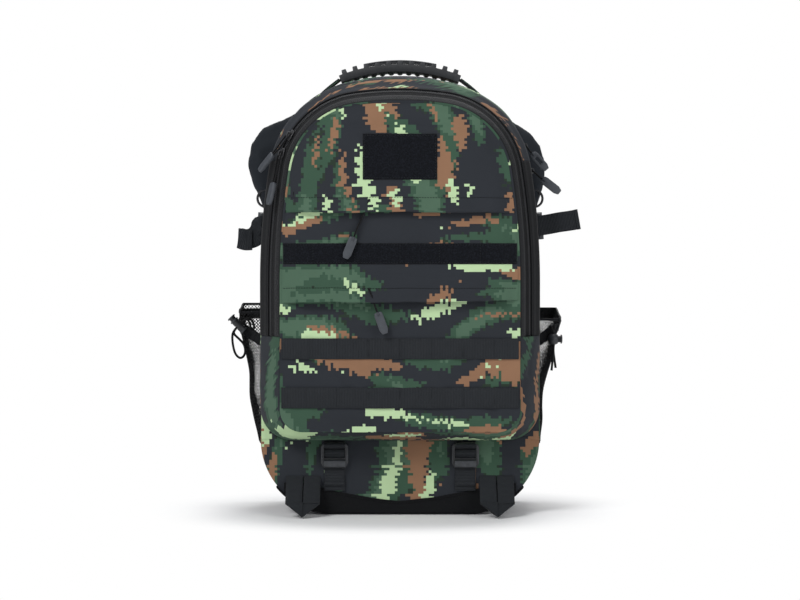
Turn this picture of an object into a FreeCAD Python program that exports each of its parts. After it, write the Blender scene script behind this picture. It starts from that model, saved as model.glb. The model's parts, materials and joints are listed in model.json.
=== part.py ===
# Hunting backpack, about 45 litres: a stuffed fabric pack with an arched outline.
# A main compartment opens like a clamshell at the main zip.  A shallow front
# compartment on it opens at its own zip.  The pack stands on its base: +Z is up,
# -Y is the front, +X is to the right seen from the front, and the origin is on
# the floor under the middle of the base.  All lengths are millimetres.
import FreeCAD, Part
import math
import os
import re

import Sketcher
from FreeCAD import Placement, Rotation, Vector

doc = FreeCAD.newDocument("Backpack")
sheet = doc.addObject("Spreadsheet::Sheet", "Sizes")

SIZES = [
    # the arched outline, seen from the front
    ("packHalfWidth", 171.0, "half width across the side walls"),
    ("packTop", 530.0, "top of the arch"),
    ("sideRadius", 906.0, "lean of the sides above sideBend"),
    ("sideBend", 283.0, "height where the straight sides start to lean in"),
    ("shoulderRadius", 120.0, "shoulders of the arch"),
    ("topRadius", 427.0, "crown of the arch"),
    ("baseCorner", 90.0, "lower corners of the pack"),
    # walls
    ("fabric", 2.0, "shell fabric with its foam and lining"),
    ("bootWall", 2.0, "heavy fabric of the base"),
    ("slack", 0.3, "gap left between pieces that only touch"),
    # depth stations, front is negative
    ("backFace", 110.0, "rear face of the back panel"),
    ("mainZipLine", 10.0, "centre line of the main zip"),
    ("dividerFace", -35.0, "rear face of the wall between the compartments"),
    ("panelFace", -85.0, "rear face of the front panel"),
    ("frontZipLine", -62.0, "centre line of the front zip"),
    # heights
    ("mainFold", 91.0, "where the main zip ends and its flap folds"),
    ("frontFold", 219.5, "where the front zip ends and its flap folds"),
    ("panelBase", 105.0, "bottom edge of the front panel"),
    ("panelInset", 27.0, "how far the front panel is inside the pack outline"),
    ("frontCorner", 40.0, "lower corners of the front compartment at its rear"),
    ("panelCorner", 27.0, "lower corners of the front panel"),
    ("bootTop", 30.0, "top edge of the base fabric"),
    # zips
    ("zipTape", 6.7, "width of one tape"),
    ("zipGap", 10.6, "gap between the tapes, which the teeth and the slider fill"),
    ("tapeWall", 1.2, "tape thickness"),
    ("sliderLong", 14.0, "slider length"),
    ("sliderWide", 10.0, "slider width at its mouth"),
    ("sliderPlate", 1.5, "slider plate thickness"),
    ("sliderSlot", 2.0, "slot between the plates"),
    ("sliderPost", 2.8, "width of the post that parts the teeth"),
    ("bailLong", 6.4, "bail length"),
    ("bailHigh", 4.6, "bail height above the plate"),
    ("bailWide", 1.6, "bail width"),
    ("bailBar", 1.2, "bail thickness"),
    ("pullCord", 2.0, "cord diameter of a zip pull"),
    ("pullLegs", 7.0, "spacing of the two cord legs"),
    ("deepLegs", 4.4, "the same where they lie one behind the other"),
    ("deepRise", 2.4, "how far such a loop reaches over the bail"),
    ("gripLong", 27.0, "moulded grip length"),
    ("gripWide", 10.5, "moulded grip width"),
    ("gripThick", 4.6, "moulded grip thickness"),
    ("gripWindow", 4.0, "width of the window in a frame grip"),
    # front pockets
    ("pocketThick", 6.0, "stuffed layer of the front pockets"),
    ("upperPocketBase", 369.0, "lower hem of the upper pocket"),
    ("middlePocketBase", 262.0, "lower hem of the middle pocket"),
    ("middleTop", 368.9, "upper edge of the middle pocket"),
    ("pocketZipHalf", 128.0, "half length of the pocket zips"),
    ("hemDrop", 12.5, "height of a pocket's zip above the hem edge that hides it"),
    ("hemProud", 7.6, "how far the hem flap stands off the pocket's face"),
    ("hemHigh", 35.0, "height of the hem flap"),
    ("hemWall", 1.5, "hem flap"),
    ("hemSide", 3.0, "how far the hem flap passes the ends of the zip"),
    ("pullProud", 2.0, "degrees by which the pocket pulls lean out"),
    ("lowForward", 0.15, "how far the lower front pull leans forward, for each unit down"),
    ("highBack", 0.4, "how far the upper front pull leans back, clear of the lower one"),
    ("pocketInset", 4.0, "pocket layers inside the front panel edge"),
    ("patchWide", 89.0, "fuzzy name panel width"),
    ("patchHigh", 55.0, "fuzzy name panel height"),
    ("patchBase", 408.0, "fuzzy name panel lower edge"),
    ("loopBase", 307.0, "lower edge of the fuzzy strip"),
    ("loopThick", 1.6, "fuzzy panel thickness"),
    ("webbingWide", 25.0, "webbing width"),
    ("webbingThick", 1.6, "webbing thickness"),
    ("upperRow", 193.0, "lower edge of the upper webbing row"),
    ("lowerRow", 134.0, "lower edge of the lower webbing row"),
    # handle
    ("handleDepth", 58.0, "depth station of the handle"),
    ("handleRadius", 205.0, "inner radius of the grip"),
    ("handleCrown", 553.0, "crown of the webbing in the grip"),
    ("gripArc", 42.0, "angle that the rubber grip covers, in degrees"),
    ("gripRubber", 4.0, "rubber above and under the webbing"),
    ("gripBroad", 34.0, "width of the rubber grip"),
    ("handleWebbing", 26.0, "width of the handle webbing"),
    ("handleSeat", 507.0, "height where the handle is sewn down"),
    ("footWide", 4.8, "width of the webbing's folded foot"),
    ("footGap", 0.9, "room under the foot, for the swing"),
    ("tabLong", 26.0, "sewn tab length"),
    ("tabWide", 34.0, "sewn tab width"),
    ("treadHigh", 5.0, "height of the tread blocks"),
    ("treadLong", 7.0, "length of a tread block along the grip"),
    ("treadCount", 11.0, "tread blocks"),
    # ladder locks
    ("lockWide", 33.0, "ladder lock width"),
    ("lockHigh", 29.0, "ladder lock height"),
    ("lockThick", 4.4, "ladder lock thickness"),
    ("lockSlot", 5.2, "slot height"),
    ("lockBar", 3.4, "bars of the lock"),
    ("lipProud", 3.2, "thumb lip stands forward"),
    ("lockPlay", 2.4, "free room round the lock's top bar in its loop"),
    ("loopWall", 1.2, "folded tape that holds a lock's top bar"),
    # lower front straps
    ("lowStrapX", 80.0, "centre of each lower strap from the middle"),
    ("lowLockTop", 87.0, "top edge of the lower ladder locks"),
    ("lowTail", 20.0, "loose tail below the lock"),
    # loops at the base
    ("loopX", 118.0, "centre of each base loop from the middle"),
    ("loopTop", 46.0, "sewn edge of the base loops"),
    ("loopLong", 64.0, "length of a base loop"),
    ("loopWide", 42.0, "the two legs of a base loop side by side"),
    ("loopSlit", 1.4, "slit between the legs"),
    # back
    ("padThick", 12.0, "back padding"),
    ("padGap", 16.0, "channel between the back pads"),
    ("padHalf", 98.0, "half width over the back pads"),
    ("padTop", 404.0, "top of the long back pads"),
    ("padLow", 200.0, "foot of the long back pads"),
    ("lumbarLow", 60.0, "foot of the lumbar pad"),
    ("sheetWall", 1.5, "stiffener sheet thickness"),
    ("sheetInset", 18.0, "stiffener sheet inside the pack outline"),
    ("strapWide", 74.0, "shoulder strap width"),
    ("strapThick", 13.0, "shoulder strap padding"),
    ("strapSwayLeft", 9.0, "how far the left strap bulges out further"),
    ("strapSwayRight", -3.0, "how far the right strap bulges out further"),
    ("swayHeight", 455.0, "height of that bulge"),
    ("strapLockX", 116.0, "centre of each adjuster from the middle"),
    ("strapLockTop", 200.0, "top edge of the adjusters"),
    ("strapRest", 0.102, "gap between the foot of that webbing and the back"),
    ("strapRun", 124.5, "webbing from an adjuster to the base"),
    ("strapTail", 96.0, "loose end of that webbing"),
    ("strapSewn", 22.0, "tape sewn on the padded strap"),
    ("strapTilt", 14.0, "lean of the adjuster webbing, in degrees"),
    ("ringRadius", 11.0, "strap ring radius to the wire's middle"),
    ("ringWire", 1.7, "strap ring wire radius"),
    ("ringX", 176.0, "strap ring from the middle"),
    ("ringZ", 392.0, "strap ring height"),
    ("ringDepth", 159.8, "depth station of the strap rings"),
    # side release buckles
    ("buckleLong", 30.0, "socket length"),
    ("buckleWide", 34.0, "socket width"),
    ("buckleThick", 9.0, "socket thickness"),
    ("buckleWall", 1.7, "socket wall"),
    ("buckleFit", 0.25, "room round the plug in its socket"),
    ("prongLong", 22.0, "prong length"),
    ("prongWide", 4.6, "prong width"),
    ("tongueWide", 5.0, "width of the plug's middle tongue"),
    ("buckleBar", 3.2, "webbing bar of the plug and socket"),
    ("buckleSlot", 4.6, "webbing slot of the plug and socket"),
    ("plugBase", 5.0, "solid part of the plug between slot and prongs"),
    ("chestHeight", 372.0, "middle of the chest strap"),
    ("chestDepth", 183.0, "depth station of the chest strap"),
    ("chestReach", 150.0, "outer ends of the chest strap"),
    # side straps, rows and pockets
    ("sideStrapMid", 354.0, "middle of the side straps"),
    ("sideMouth", 66.0, "depth station where socket and plug meet"),
    ("sideRowMid", 289.0, "middle of the side webbing rows"),
    ("sideTailLeft", 24.0, "loose end of the left side strap"),
    ("sideTailRight", 50.0, "loose end of the right side strap"),
    ("meshWall", 1.4, "mesh pocket wall"),
    ("mouthRear", 256.0, "mouth of the mesh pockets at the rear"),
    ("mouthFront", 224.0, "mouth of the mesh pockets at the front"),
    ("meshBase", 84.0, "foot of the mesh pockets"),
    ("meshRear", 98.0, "rear edge of the mesh pockets"),
    ("meshFront", 26.0, "front edge of the mesh pockets"),
    ("meshMouth", 30.0, "how far the mouth stands out from the side"),
    ("meshFoot", 5.0, "how far the foot stands out from the side"),
    ("bandHigh", 13.0, "height of the elastic bands"),
    ("bandThick", 1.8, "thickness of the elastic bands"),
    # cord locks
    ("cordThick", 3.0, "elastic cord diameter"),
    ("cordPitch", 3.6, "spacing of the two cords in a lock"),
    ("barrelLong", 19.0, "length of the barrel cord lock"),
    ("barrelRadius", 5.6, "radius of the barrel cord lock"),
    ("ballRadius", 7.4, "radius of the ball cord lock"),
    ("flangeThick", 2.0, "end flange of a cord lock"),
    ("plungerRadius", 4.0, "radius of the cord lock plungers"),
    ("plungerProud", 5.4, "plunger standing out of its lock"),
    ("plungerStroke", 2.6, "how far a plunger is pressed"),
    ("runFit", 0.08, "radial room of a plunger in its lock"),
]

for row, (alias, value, note) in enumerate(SIZES, 1):
    sheet.set(f"A{row}", str(value))
    sheet.set(f"B{row}", note)
    sheet.setAlias(f"A{row}", alias)
doc.recompute()


def ref(text):
    """A sum of aliases, written for use outside the sheet."""
    return re.sub(r"[A-Za-z]\w*(?!\w*\()", lambda word: "Sizes." + word[0], text)


def size(text):
    """The value of a sum of aliases."""
    return float(sheet.evalExpression(str(text)))


# ---------------------------------------------------------------- sketch helpers


def new_body(label):
    body = doc.addObject("PartDesign::Body", label)
    body.Label = label
    return body


def sketch_on(body, plane, offset="0"):
    """A sketch on one of the body's origin planes, moved along its normal."""
    support = next(f for f in body.Origin.OriginFeatures if f.Role == plane)
    sketch = body.newObject("Sketcher::SketchObject", "Sketch")
    sketch.AttachmentSupport = [(support, "")]
    sketch.MapMode = "FlatFace"
    sketch.setExpression("AttachmentOffset.Base.z", ref(offset))
    return sketch


def datum(sketch, kind, first, second, text):
    """A dimension bound to the sheet.  first and second are (geometry, point)."""
    if kind == "Radius":
        index = sketch.addConstraint(Sketcher.Constraint(kind, first[0], size(text)))
    else:
        index = sketch.addConstraint(Sketcher.Constraint(kind, *first, *second, size(text)))
    sketch.setExpression(f"Constraints[{index}]", ref(text))


def polygon(sketch, points):
    """A closed outline through points given as sums of aliases."""
    spots = [Vector(size(x), size(y), 0) for x, y in points]
    edges = []
    for spot, following in zip(spots, spots[1:] + spots[:1]):
        edges.append(sketch.addGeometry(Part.LineSegment(spot, following), False))
    for number, edge in enumerate(edges):
        after = edges[(number + 1) % len(edges)]
        sketch.addConstraint(Sketcher.Constraint("Coincident", edge, 2, after, 1))
        datum(sketch, "DistanceX", (-1, 1), (edge, 1), points[number][0])
        datum(sketch, "DistanceY", (-1, 1), (edge, 1), points[number][1])


def rectangle(sketch, left, right, low, high):
    polygon(sketch, [(left, low), (right, low), (right, high), (left, high)])


def circle(sketch, x, y, radius):
    edge = sketch.addGeometry(Part.Circle(Vector(size(x), size(y), 0), Vector(0, 0, 1), size(radius)), False)
    datum(sketch, "Radius", (edge,), None, radius)
    datum(sketch, "DistanceX", (-1, 1), (edge, 3), x)
    datum(sketch, "DistanceY", (-1, 1), (edge, 3), y)


def shoulder_centre(half, top, side, shoulder, crown, bend):
    """Centre of the shoulder arc, which touches the side arc and the crown arc."""
    side_centre = Vector(half - side, bend, 0)
    crown_centre = Vector(0, top - crown, 0)
    from_side, from_crown = side - shoulder, crown - shoulder
    line = crown_centre - side_centre
    span = line.Length
    along = (from_side**2 - from_crown**2 + span**2) / (2 * span)
    across = math.sqrt(from_side**2 - along**2)
    line.normalize()
    return side_centre + line * along + Vector(-line.y, line.x, 0) * across


def arch(sketch, inset="0", base="bootWall + slack", corner="baseCorner"):
    """The pack's outline moved inwards by inset: base, corners, sides, shoulders and crown."""
    half, low, bend = size(f"packHalfWidth - ({inset})"), size(base), size("sideBend")
    turn = size(corner)
    side = size(f"sideRadius - ({inset})")
    shoulder = size(f"shoulderRadius - ({inset})")
    crown = size(f"topRadius - ({inset})")
    top = size(f"packTop - ({inset})")
    centre = shoulder_centre(half, top, side, shoulder, crown, bend)
    lean = math.atan2(centre.y - bend, centre.x - half + side)
    crown_turn = math.atan2(centre.y - top + crown, centre.x)

    def line(x0, y0, x1, y1):
        return sketch.addGeometry(Part.LineSegment(Vector(x0, y0, 0), Vector(x1, y1, 0)), False)

    def arc(x, y, radius, start, end):
        ring = Part.Circle(Vector(x, y, 0), Vector(0, 0, 1), radius)
        return sketch.addGeometry(Part.ArcOfCircle(ring, start, end), False)

    right = math.pi / 2
    chain = [
        line(turn - half, low, half - turn, low),
        arc(half - turn, low + turn, turn, -right, 0),
        line(half, low + turn, half, bend),
        arc(half - side, bend, side, 0, lean),
        arc(centre.x, centre.y, shoulder, lean, crown_turn),
        arc(0, top - crown, crown, crown_turn, math.pi - crown_turn),
        arc(-centre.x, centre.y, shoulder, math.pi - crown_turn, math.pi - lean),
        arc(side - half, bend, side, math.pi - lean, math.pi),
        line(-half, bend, -half, low + turn),
        arc(turn - half, low + turn, turn, math.pi, 3 * right),
    ]
    for number, edge in enumerate(chain):
        after = chain[(number + 1) % len(chain)]
        sketch.addConstraint(Sketcher.Constraint("Tangent", edge, 2, after, 1))
    sketch.addConstraint(Sketcher.Constraint("Horizontal", chain[0]))
    sketch.addConstraint(Sketcher.Constraint("Vertical", chain[2]))
    sketch.addConstraint(Sketcher.Constraint("Vertical", chain[8]))
    for edges, text in (
        ((1, 9), corner),
        ((3, 7), f"sideRadius - ({inset})"),
        ((4, 6), f"shoulderRadius - ({inset})"),
        ((5,), f"topRadius - ({inset})"),
    ):
        for edge in edges:
            datum(sketch, "Radius", (chain[edge],), None, text)
    datum(sketch, "DistanceY", (-1, 1), (chain[0], 1), base)
    datum(sketch, "DistanceX", (-1, 1), (chain[2], 1), f"packHalfWidth - ({inset})")
    datum(sketch, "DistanceX", (chain[8], 1), (-1, 1), f"packHalfWidth - ({inset})")
    datum(sketch, "DistanceY", (-1, 1), (chain[3], 3), "sideBend")
    datum(sketch, "DistanceY", (-1, 1), (chain[7], 3), "sideBend")
    datum(sketch, "DistanceY", (-1, 1), (chain[5], 3), "packTop - topRadius")


def pad(body, sketch, length, middle=False):
    feature = body.newObject("PartDesign::Pad", "Pad")
    feature.Profile = sketch
    feature.Midplane = middle
    feature.setExpression("Length", ref(length))
    return feature


def pocket(body, sketch, length, middle=False, back=False):
    """Cuts along the sketch's normal turned round, or along it when back is set."""
    feature = body.newObject("PartDesign::Pocket", "Pocket")
    feature.Profile = sketch
    feature.Midplane = middle
    feature.Reversed = back
    feature.setExpression("Length", ref(length))
    return feature


def loft(body, kind, sections):
    feature = body.newObject("PartDesign::" + kind, "Loft")
    feature.Profile = sections[0]
    feature.Sections = sections[1:]
    feature.Ruled = True
    return feature


def trim(body, low, high):
    """Cuts away everything between two heights, through the whole body."""
    sketch = sketch_on(body, "XZ_Plane")
    rectangle(sketch, "-2 * packHalfWidth", "2 * packHalfWidth", low, high)
    pocket(body, sketch, "8 * packHalfWidth", middle=True)


BELOW = "-packTop"  # a height under the whole pack
ABOVE = "2 * packTop"  # a height over the whole pack


def slab(label, plane, offset, outline, length, middle=False):
    """A body that is one outline padded along a plane's normal."""
    body = new_body(label)
    sketch = sketch_on(body, plane, offset)
    polygon(sketch, outline)
    pad(body, sketch, length, middle)
    return body


def fuse(label, *pieces):
    """Several solids that share one node."""
    feature = doc.addObject("Part::Compound", label)
    feature.Label = label
    feature.Links = list(pieces)
    return feature


made = []  # every object that is a sub-part, in the order it is made


def keep(*objects):
    made.extend(objects)


# ---------------------------------------------------------------- the shell


def band(label, rear, front, wall="fabric", inset="0"):
    """A strip of the side wall all round the arch, between two depth stations."""
    body = new_body(label)
    sketch = sketch_on(body, "XZ_Plane", f"-({rear})")
    arch(sketch, inset)
    arch(sketch, f"{inset} + {wall}", f"bootWall + slack + {wall}", f"baseCorner - ({wall})")
    pad(body, sketch, f"({rear}) - ({front})")
    return body


def plate(label, rear, wall, inset="0", base="bootWall + slack", corner="baseCorner"):
    """A flat panel with the arch's outline, its rear face at a depth station."""
    body = new_body(label)
    sketch = sketch_on(body, "XZ_Plane", f"-({rear})")
    arch(sketch, inset, base, corner)
    pad(body, sketch, wall)
    return body


def back_and_sides():
    keep(plate("back_panel", "backFace", "fabric"))
    keep(
        plate(
            "frame_sheet",
            "backFace - fabric - slack",
            "sheetWall",
            "sheetInset",
            "bootWall + slack + sheetInset",
            "baseCorner - sheetInset",
        )
    )
    keep(band("rear_gusset", "backFace - fabric", "mainZipLine + zipGap / 2 + zipTape"))


def lower_front():
    """The fixed foot of the main compartment, closed in front and open above."""
    body = new_body("lower_front_panel")
    rear = "mainZipLine + zipGap / 2 + zipTape"
    outer = sketch_on(body, "XZ_Plane", f"-({rear})")
    arch(outer)
    pad(body, outer, f"{rear} - dividerFace + fabric")
    inner = sketch_on(body, "XZ_Plane", f"-({rear})")
    arch(inner, "fabric", "bootWall + slack + fabric", "baseCorner - fabric")
    pocket(body, inner, f"{rear} - dividerFace", back=True)
    trim(body, "mainFold - slack", ABOVE)
    keep(body)

    boot = new_body("base_boot")
    outer = sketch_on(boot, "XZ_Plane", "-backFace")
    arch(outer, "-bootWall - slack", "0", "baseCorner + bootWall + slack")
    pad(boot, outer, "backFace - dividerFace + fabric + slack + bootWall")
    inner = sketch_on(boot, "XZ_Plane", "-backFace")
    arch(inner, "-slack", "bootWall", "baseCorner + slack")
    pocket(boot, inner, "backFace - dividerFace + fabric + slack", back=True)
    trim(boot, "bootTop", ABOVE)
    keep(boot)


def main_flap():
    """What tips forward when the main zip is open."""
    rear_tape = band(
        "main_zip_rear_tape",
        "mainZipLine + zipGap / 2 + zipTape",
        "mainZipLine + zipGap / 2",
        "tapeWall",
    )
    trim(rear_tape, BELOW, "mainFold")
    front_tape = band(
        "main_zip_front_tape",
        "mainZipLine - zipGap / 2",
        "mainZipLine - zipGap / 2 - zipTape",
        "tapeWall",
    )
    trim(front_tape, BELOW, "mainFold")
    gusset = band("mid_gusset", "mainZipLine - zipGap / 2 - zipTape", "dividerFace")
    trim(gusset, BELOW, "mainFold")
    divider = plate("divider_panel", "dividerFace", "fabric", "0", "mainFold", "frontCorner")
    keep(rear_tape, front_tape, gusset, divider)


# The front compartment's wall slants inwards from the divider to the front panel.
SLANT_START = "dividerFace - fabric"


def slant_share(station):
    """How far along the slanted wall a depth station is, from 0 to 1."""
    return f"(({SLANT_START} - ({station})) / ({SLANT_START} - panelFace))"


def slant_arch(body, station, wall):
    share = slant_share(station)
    sketch = sketch_on(body, "XZ_Plane", f"-({station})")
    arch(
        sketch,
        f"panelInset * {share} + {wall}",
        f"mainFold + (panelBase - mainFold) * {share} + {wall}",
        f"frontCorner + (panelCorner - frontCorner) * {share} - ({wall})",
    )
    return sketch


def slant_band(label, rear, front, wall):
    body = new_body(label)
    loft(body, "AdditiveLoft", [slant_arch(body, rear, "0"), slant_arch(body, front, "0")])
    loft(body, "SubtractiveLoft", [slant_arch(body, rear, wall), slant_arch(body, front, wall)])
    return body


def front_compartment():
    run = f"({SLANT_START} - panelFace)"
    tape_run = f"zipTape * {run} / sqrt({run}^2 + panelInset^2)"
    rear_edge = f"frontZipLine + zipGap / 2 + {tape_run}"
    front_edge = f"frontZipLine - zipGap / 2 - {tape_run}"

    low = slant_band("front_gusset_low", SLANT_START, "panelFace", "fabric")
    trim(low, "frontFold", ABOVE)
    high = slant_band("front_gusset_high", SLANT_START, rear_edge, "fabric")
    trim(high, BELOW, "frontFold")
    gusset = doc.addObject("Part::Fuse", "front_gusset")
    gusset.Base, gusset.Tool = low, high
    gusset.Label = "front_gusset"

    rear_tape = slant_band("front_zip_rear_tape", rear_edge, "frontZipLine + zipGap / 2", "tapeWall")
    trim(rear_tape, BELOW, "frontFold")
    front_tape = slant_band("front_zip_front_tape", "frontZipLine - zipGap / 2", front_edge, "tapeWall")
    trim(front_tape, BELOW, "frontFold + slack")

    rim = slant_band("front_rim", front_edge, "panelFace", "fabric")
    trim(rim, BELOW, "frontFold + slack")
    face = plate("front_face", "panelFace", "fabric", "panelInset", "panelBase", "panelCorner")
    trim(face, BELOW, "frontFold + slack")
    upper = doc.addObject("Part::Fuse", "front_panel_upper")
    upper.Base, upper.Tool = face, rim
    upper.Label = "front_panel_upper"

    lower = plate("front_panel_lower", "panelFace", "fabric", "panelInset", "panelBase", "panelCorner")
    trim(lower, "frontFold", ABOVE)
    keep(gusset, rear_tape, front_tape, upper, lower)


UPPER_ZIP = "(upperPocketBase + hemDrop)"  # heights of the zips behind the hems
LOWER_ZIP = "(middlePocketBase + hemDrop)"
HEM_TOP = "hemDrop + zipGap / 2 + zipTape + slack"


def hem(label, base):
    """The flap of a pocket that stands off in front of its zip."""
    face, low = "panelFace - fabric - pocketThick", base
    front = f"{face} - hemProud"
    return slab(
        label,
        "YZ_Plane",
        "-pocketZipHalf - hemSide",
        [
            (face, f"{low} + hemHigh"),
            (f"{front} - hemWall * 0.8", f"{low} + hemHigh / 2"),
            (f"{front} - hemWall", low),
            (front, low),
            (f"{front} + hemWall * 0.2", f"{low} + hemHigh / 2 - hemWall / 2"),
            (face, f"{low} + hemHigh - 2 * hemWall"),
        ],
        "2 * (pocketZipHalf + hemSide)",
    )


def front_pockets():
    face = "panelFace - fabric"
    inset = "panelInset + pocketInset"
    upper = plate("upper_face", face, "pocketThick", inset, "panelBase", "panelCorner")
    trim(upper, BELOW, f"upperPocketBase + {HEM_TOP}")
    middle = plate("middle_face", face, "pocketThick", inset, "panelBase", "panelCorner")
    trim(middle, BELOW, f"middlePocketBase + {HEM_TOP}")
    trim(middle, "middleTop", ABOVE)
    for label, pouch, base in (
        ("upper_pocket", upper, "upperPocketBase"),
        ("middle_pocket", middle, "middlePocketBase"),
    ):
        whole = doc.addObject("Part::Fuse", label)
        whole.Base, whole.Tool = pouch, hem(label + "_hem", base)
        whole.Label = label
        keep(whole)

    front = "panelFace - fabric - pocketThick"
    patch = slab(
        "name_patch",
        "XZ_Plane",
        f"-({front})",
        [
            ("-patchWide / 2", "patchBase"),
            ("patchWide / 2", "patchBase"),
            ("patchWide / 2", "patchBase + patchHigh"),
            ("-patchWide / 2", "patchBase + patchHigh"),
        ],
        "loopThick",
    )
    reach = "packHalfWidth - panelInset - pocketInset"
    strip = slab(
        "loop_strip",
        "XZ_Plane",
        f"-({front})",
        [
            (f"-({reach})", "loopBase"),
            (reach, "loopBase"),
            (reach, "loopBase + webbingWide"),
            (f"-({reach})", "loopBase + webbingWide"),
        ],
        "loopThick",
    )
    rows = []
    for label, low in (("upper_row", "upperRow"), ("lower_row", "lowerRow")):
        outline = [
            (f"-({reach})", low),
            (reach, low),
            (reach, f"{low} + webbingWide"),
            (f"-({reach})", f"{low} + webbingWide"),
        ]
        rows.append(slab(label, "XZ_Plane", f"-({face})", outline, "webbingThick"))
    keep(fuse("loop_panels", patch, strip), fuse("webbing_rows", *rows))

    # straight zips under the hems of both pockets
    depth = f"{face} - slack - sliderPlate - sliderSlot / 2"
    tapes = []
    for name, middle, foot in (
        ("upper", UPPER_ZIP, "middleTop + slack"),
        ("lower", LOWER_ZIP, f"{LOWER_ZIP} - zipGap / 2 - zipTape"),
    ):
        top = f"{name.replace('lower', 'middle')}PocketBase + {HEM_TOP} - slack"
        for label, low, high in (
            ("over", f"{middle} + zipGap / 2", top),
            ("under", foot, f"{middle} - zipGap / 2"),
        ):
            outline = [
                (f"{depth} - tapeWall / 2", low),
                (f"{depth} - tapeWall / 2", high),
                (f"{depth} + tapeWall / 2", high),
                (f"{depth} + tapeWall / 2", low),
            ]
            if (name, label) == ("lower", "under"):  # sewn to the panel along its foot
                outline[3:] = [
                    (f"{depth} + tapeWall / 2", f"{low} + tapeWall"),
                    (f"{face} - slack", f"{low} + tapeWall"),
                    (f"{face} - slack", low),
                ]
            tape = slab(f"{name}_{label}_tape", "YZ_Plane", "-pocketZipHalf", outline, "2 * pocketZipHalf")
            tapes.append(tape)
    keep(fuse("pocket_zips", *tapes))


# ---------------------------------------------------------------- zip sliders


def slider(label, place):
    """Two plates joined by a post, with a bail on the upper one.
    X runs along the zip, Z out of it, and the tapes lie in its slot."""
    body = new_body(label)
    half = "sliderSlot / 2"
    for low, high in (
        (f"-({half}) - sliderPlate", f"-({half})"),
        (half, f"{half} + sliderPlate"),
    ):
        sketch = sketch_on(body, "XY_Plane", low)
        polygon(
            sketch,
            [
                ("-sliderLong / 2", "-sliderWide * 0.36"),
                ("sliderLong * 0.2", "-sliderWide / 2"),
                ("sliderLong / 2", "-sliderWide * 0.42"),
                ("sliderLong / 2", "sliderWide * 0.42"),
                ("sliderLong * 0.2", "sliderWide / 2"),
                ("-sliderLong / 2", "sliderWide * 0.36"),
            ],
        )
        pad(body, sketch, f"({high}) - ({low})")
        if low.startswith("-"):
            post = sketch_on(body, "XY_Plane", f"-({half}) - sliderPlate / 2")
            rectangle(
                post,
                "sliderLong * 0.25",
                "sliderLong / 2",
                "-sliderPost / 2",
                "sliderPost / 2",
            )
            pad(body, post, "sliderSlot + sliderPlate")
    foot = f"{half} + sliderPlate"
    bail = sketch_on(body, "XZ_Plane")
    polygon(
        bail,
        [
            ("-bailLong / 2", f"{foot} - sliderPlate / 2"),
            ("-bailLong / 2", f"{foot} + bailHigh * 0.7"),
            ("-bailLong * 0.3", f"{foot} + bailHigh"),
            ("bailLong * 0.3", f"{foot} + bailHigh"),
            ("bailLong / 2", f"{foot} + bailHigh * 0.7"),
            ("bailLong / 2", f"{foot} - sliderPlate / 2"),
            ("bailLong / 2 - bailBar", f"{foot} - sliderPlate / 2"),
            ("bailLong / 2 - bailBar", f"{foot} + bailHigh * 0.6"),
            ("bailLong * 0.25", f"{foot} + bailHigh - bailBar"),
            ("-bailLong * 0.25", f"{foot} + bailHigh - bailBar"),
            ("bailBar - bailLong / 2", f"{foot} + bailHigh * 0.6"),
            ("bailBar - bailLong / 2", f"{foot} - sliderPlate / 2"),
        ],
    )
    pad(body, bail, "bailWide", middle=True)
    body.Placement = place
    keep(body)


BAIL_HEIGHT = "sliderSlot / 2 + sliderPlate + bailHigh / 2 - bailBar / 3"
BAIL_TOP = "sliderSlot / 2 + sliderPlate + bailHigh - bailBar / 2"


def pull(label, place, cord, frame, deep=False, rise="0"):
    """A cord loop on the bail and a moulded grip.  It hangs along -Z from its
    own origin, with its broad face across Y.  A frame grip has a window.  The
    legs lie side by side, or one behind the other round the bail when deep."""
    loop = new_body(label + "_loop")
    spread = "deepLegs / 2" if deep else "pullLegs / 2"
    legs = sketch_on(loop, "XY_Plane", f"-({cord})")
    for side in ("-", ""):
        spot = ("0", side + spread) if deep else (side + spread, "0")
        circle(legs, *spot, "pullCord / 2")
    pad(loop, legs, f"{cord} + {rise}")
    bar = sketch_on(loop, "XZ_Plane" if deep else "YZ_Plane", f"-({spread}) - pullCord / 2")
    circle(bar, "0", rise, "pullCord / 2")
    pad(loop, bar, f"2 * {spread} + pullCord")

    grip = new_body(label + "_grip")
    outline = sketch_on(grip, "XZ_Plane")
    top, foot = f"-({cord})", f"-({cord}) - gripLong"
    polygon(
        outline,
        [
            ("-gripWide * 0.42", top),
            ("-gripWide / 2", f"{top} - gripLong * 0.15"),
            ("-gripWide / 2", f"{foot} + gripLong * 0.2"),
            ("-gripWide * 0.3", foot),
            ("gripWide * 0.3", foot),
            ("gripWide / 2", f"{foot} + gripLong * 0.2"),
            ("gripWide / 2", f"{top} - gripLong * 0.15"),
            ("gripWide * 0.42", top),
        ],
    )
    pad(grip, outline, "gripThick", middle=True)
    if frame:
        window = sketch_on(grip, "XZ_Plane")
        rectangle(
            window,
            "-gripWindow / 2",
            "gripWindow / 2",
            f"{top} - gripLong * 0.62",
            f"{top} - gripLong * 0.24",
        )
        pocket(grip, window, "2 * gripThick", middle=True)
    whole = fuse(label, loop, grip)
    whole.Placement = place
    keep(whole)


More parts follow.
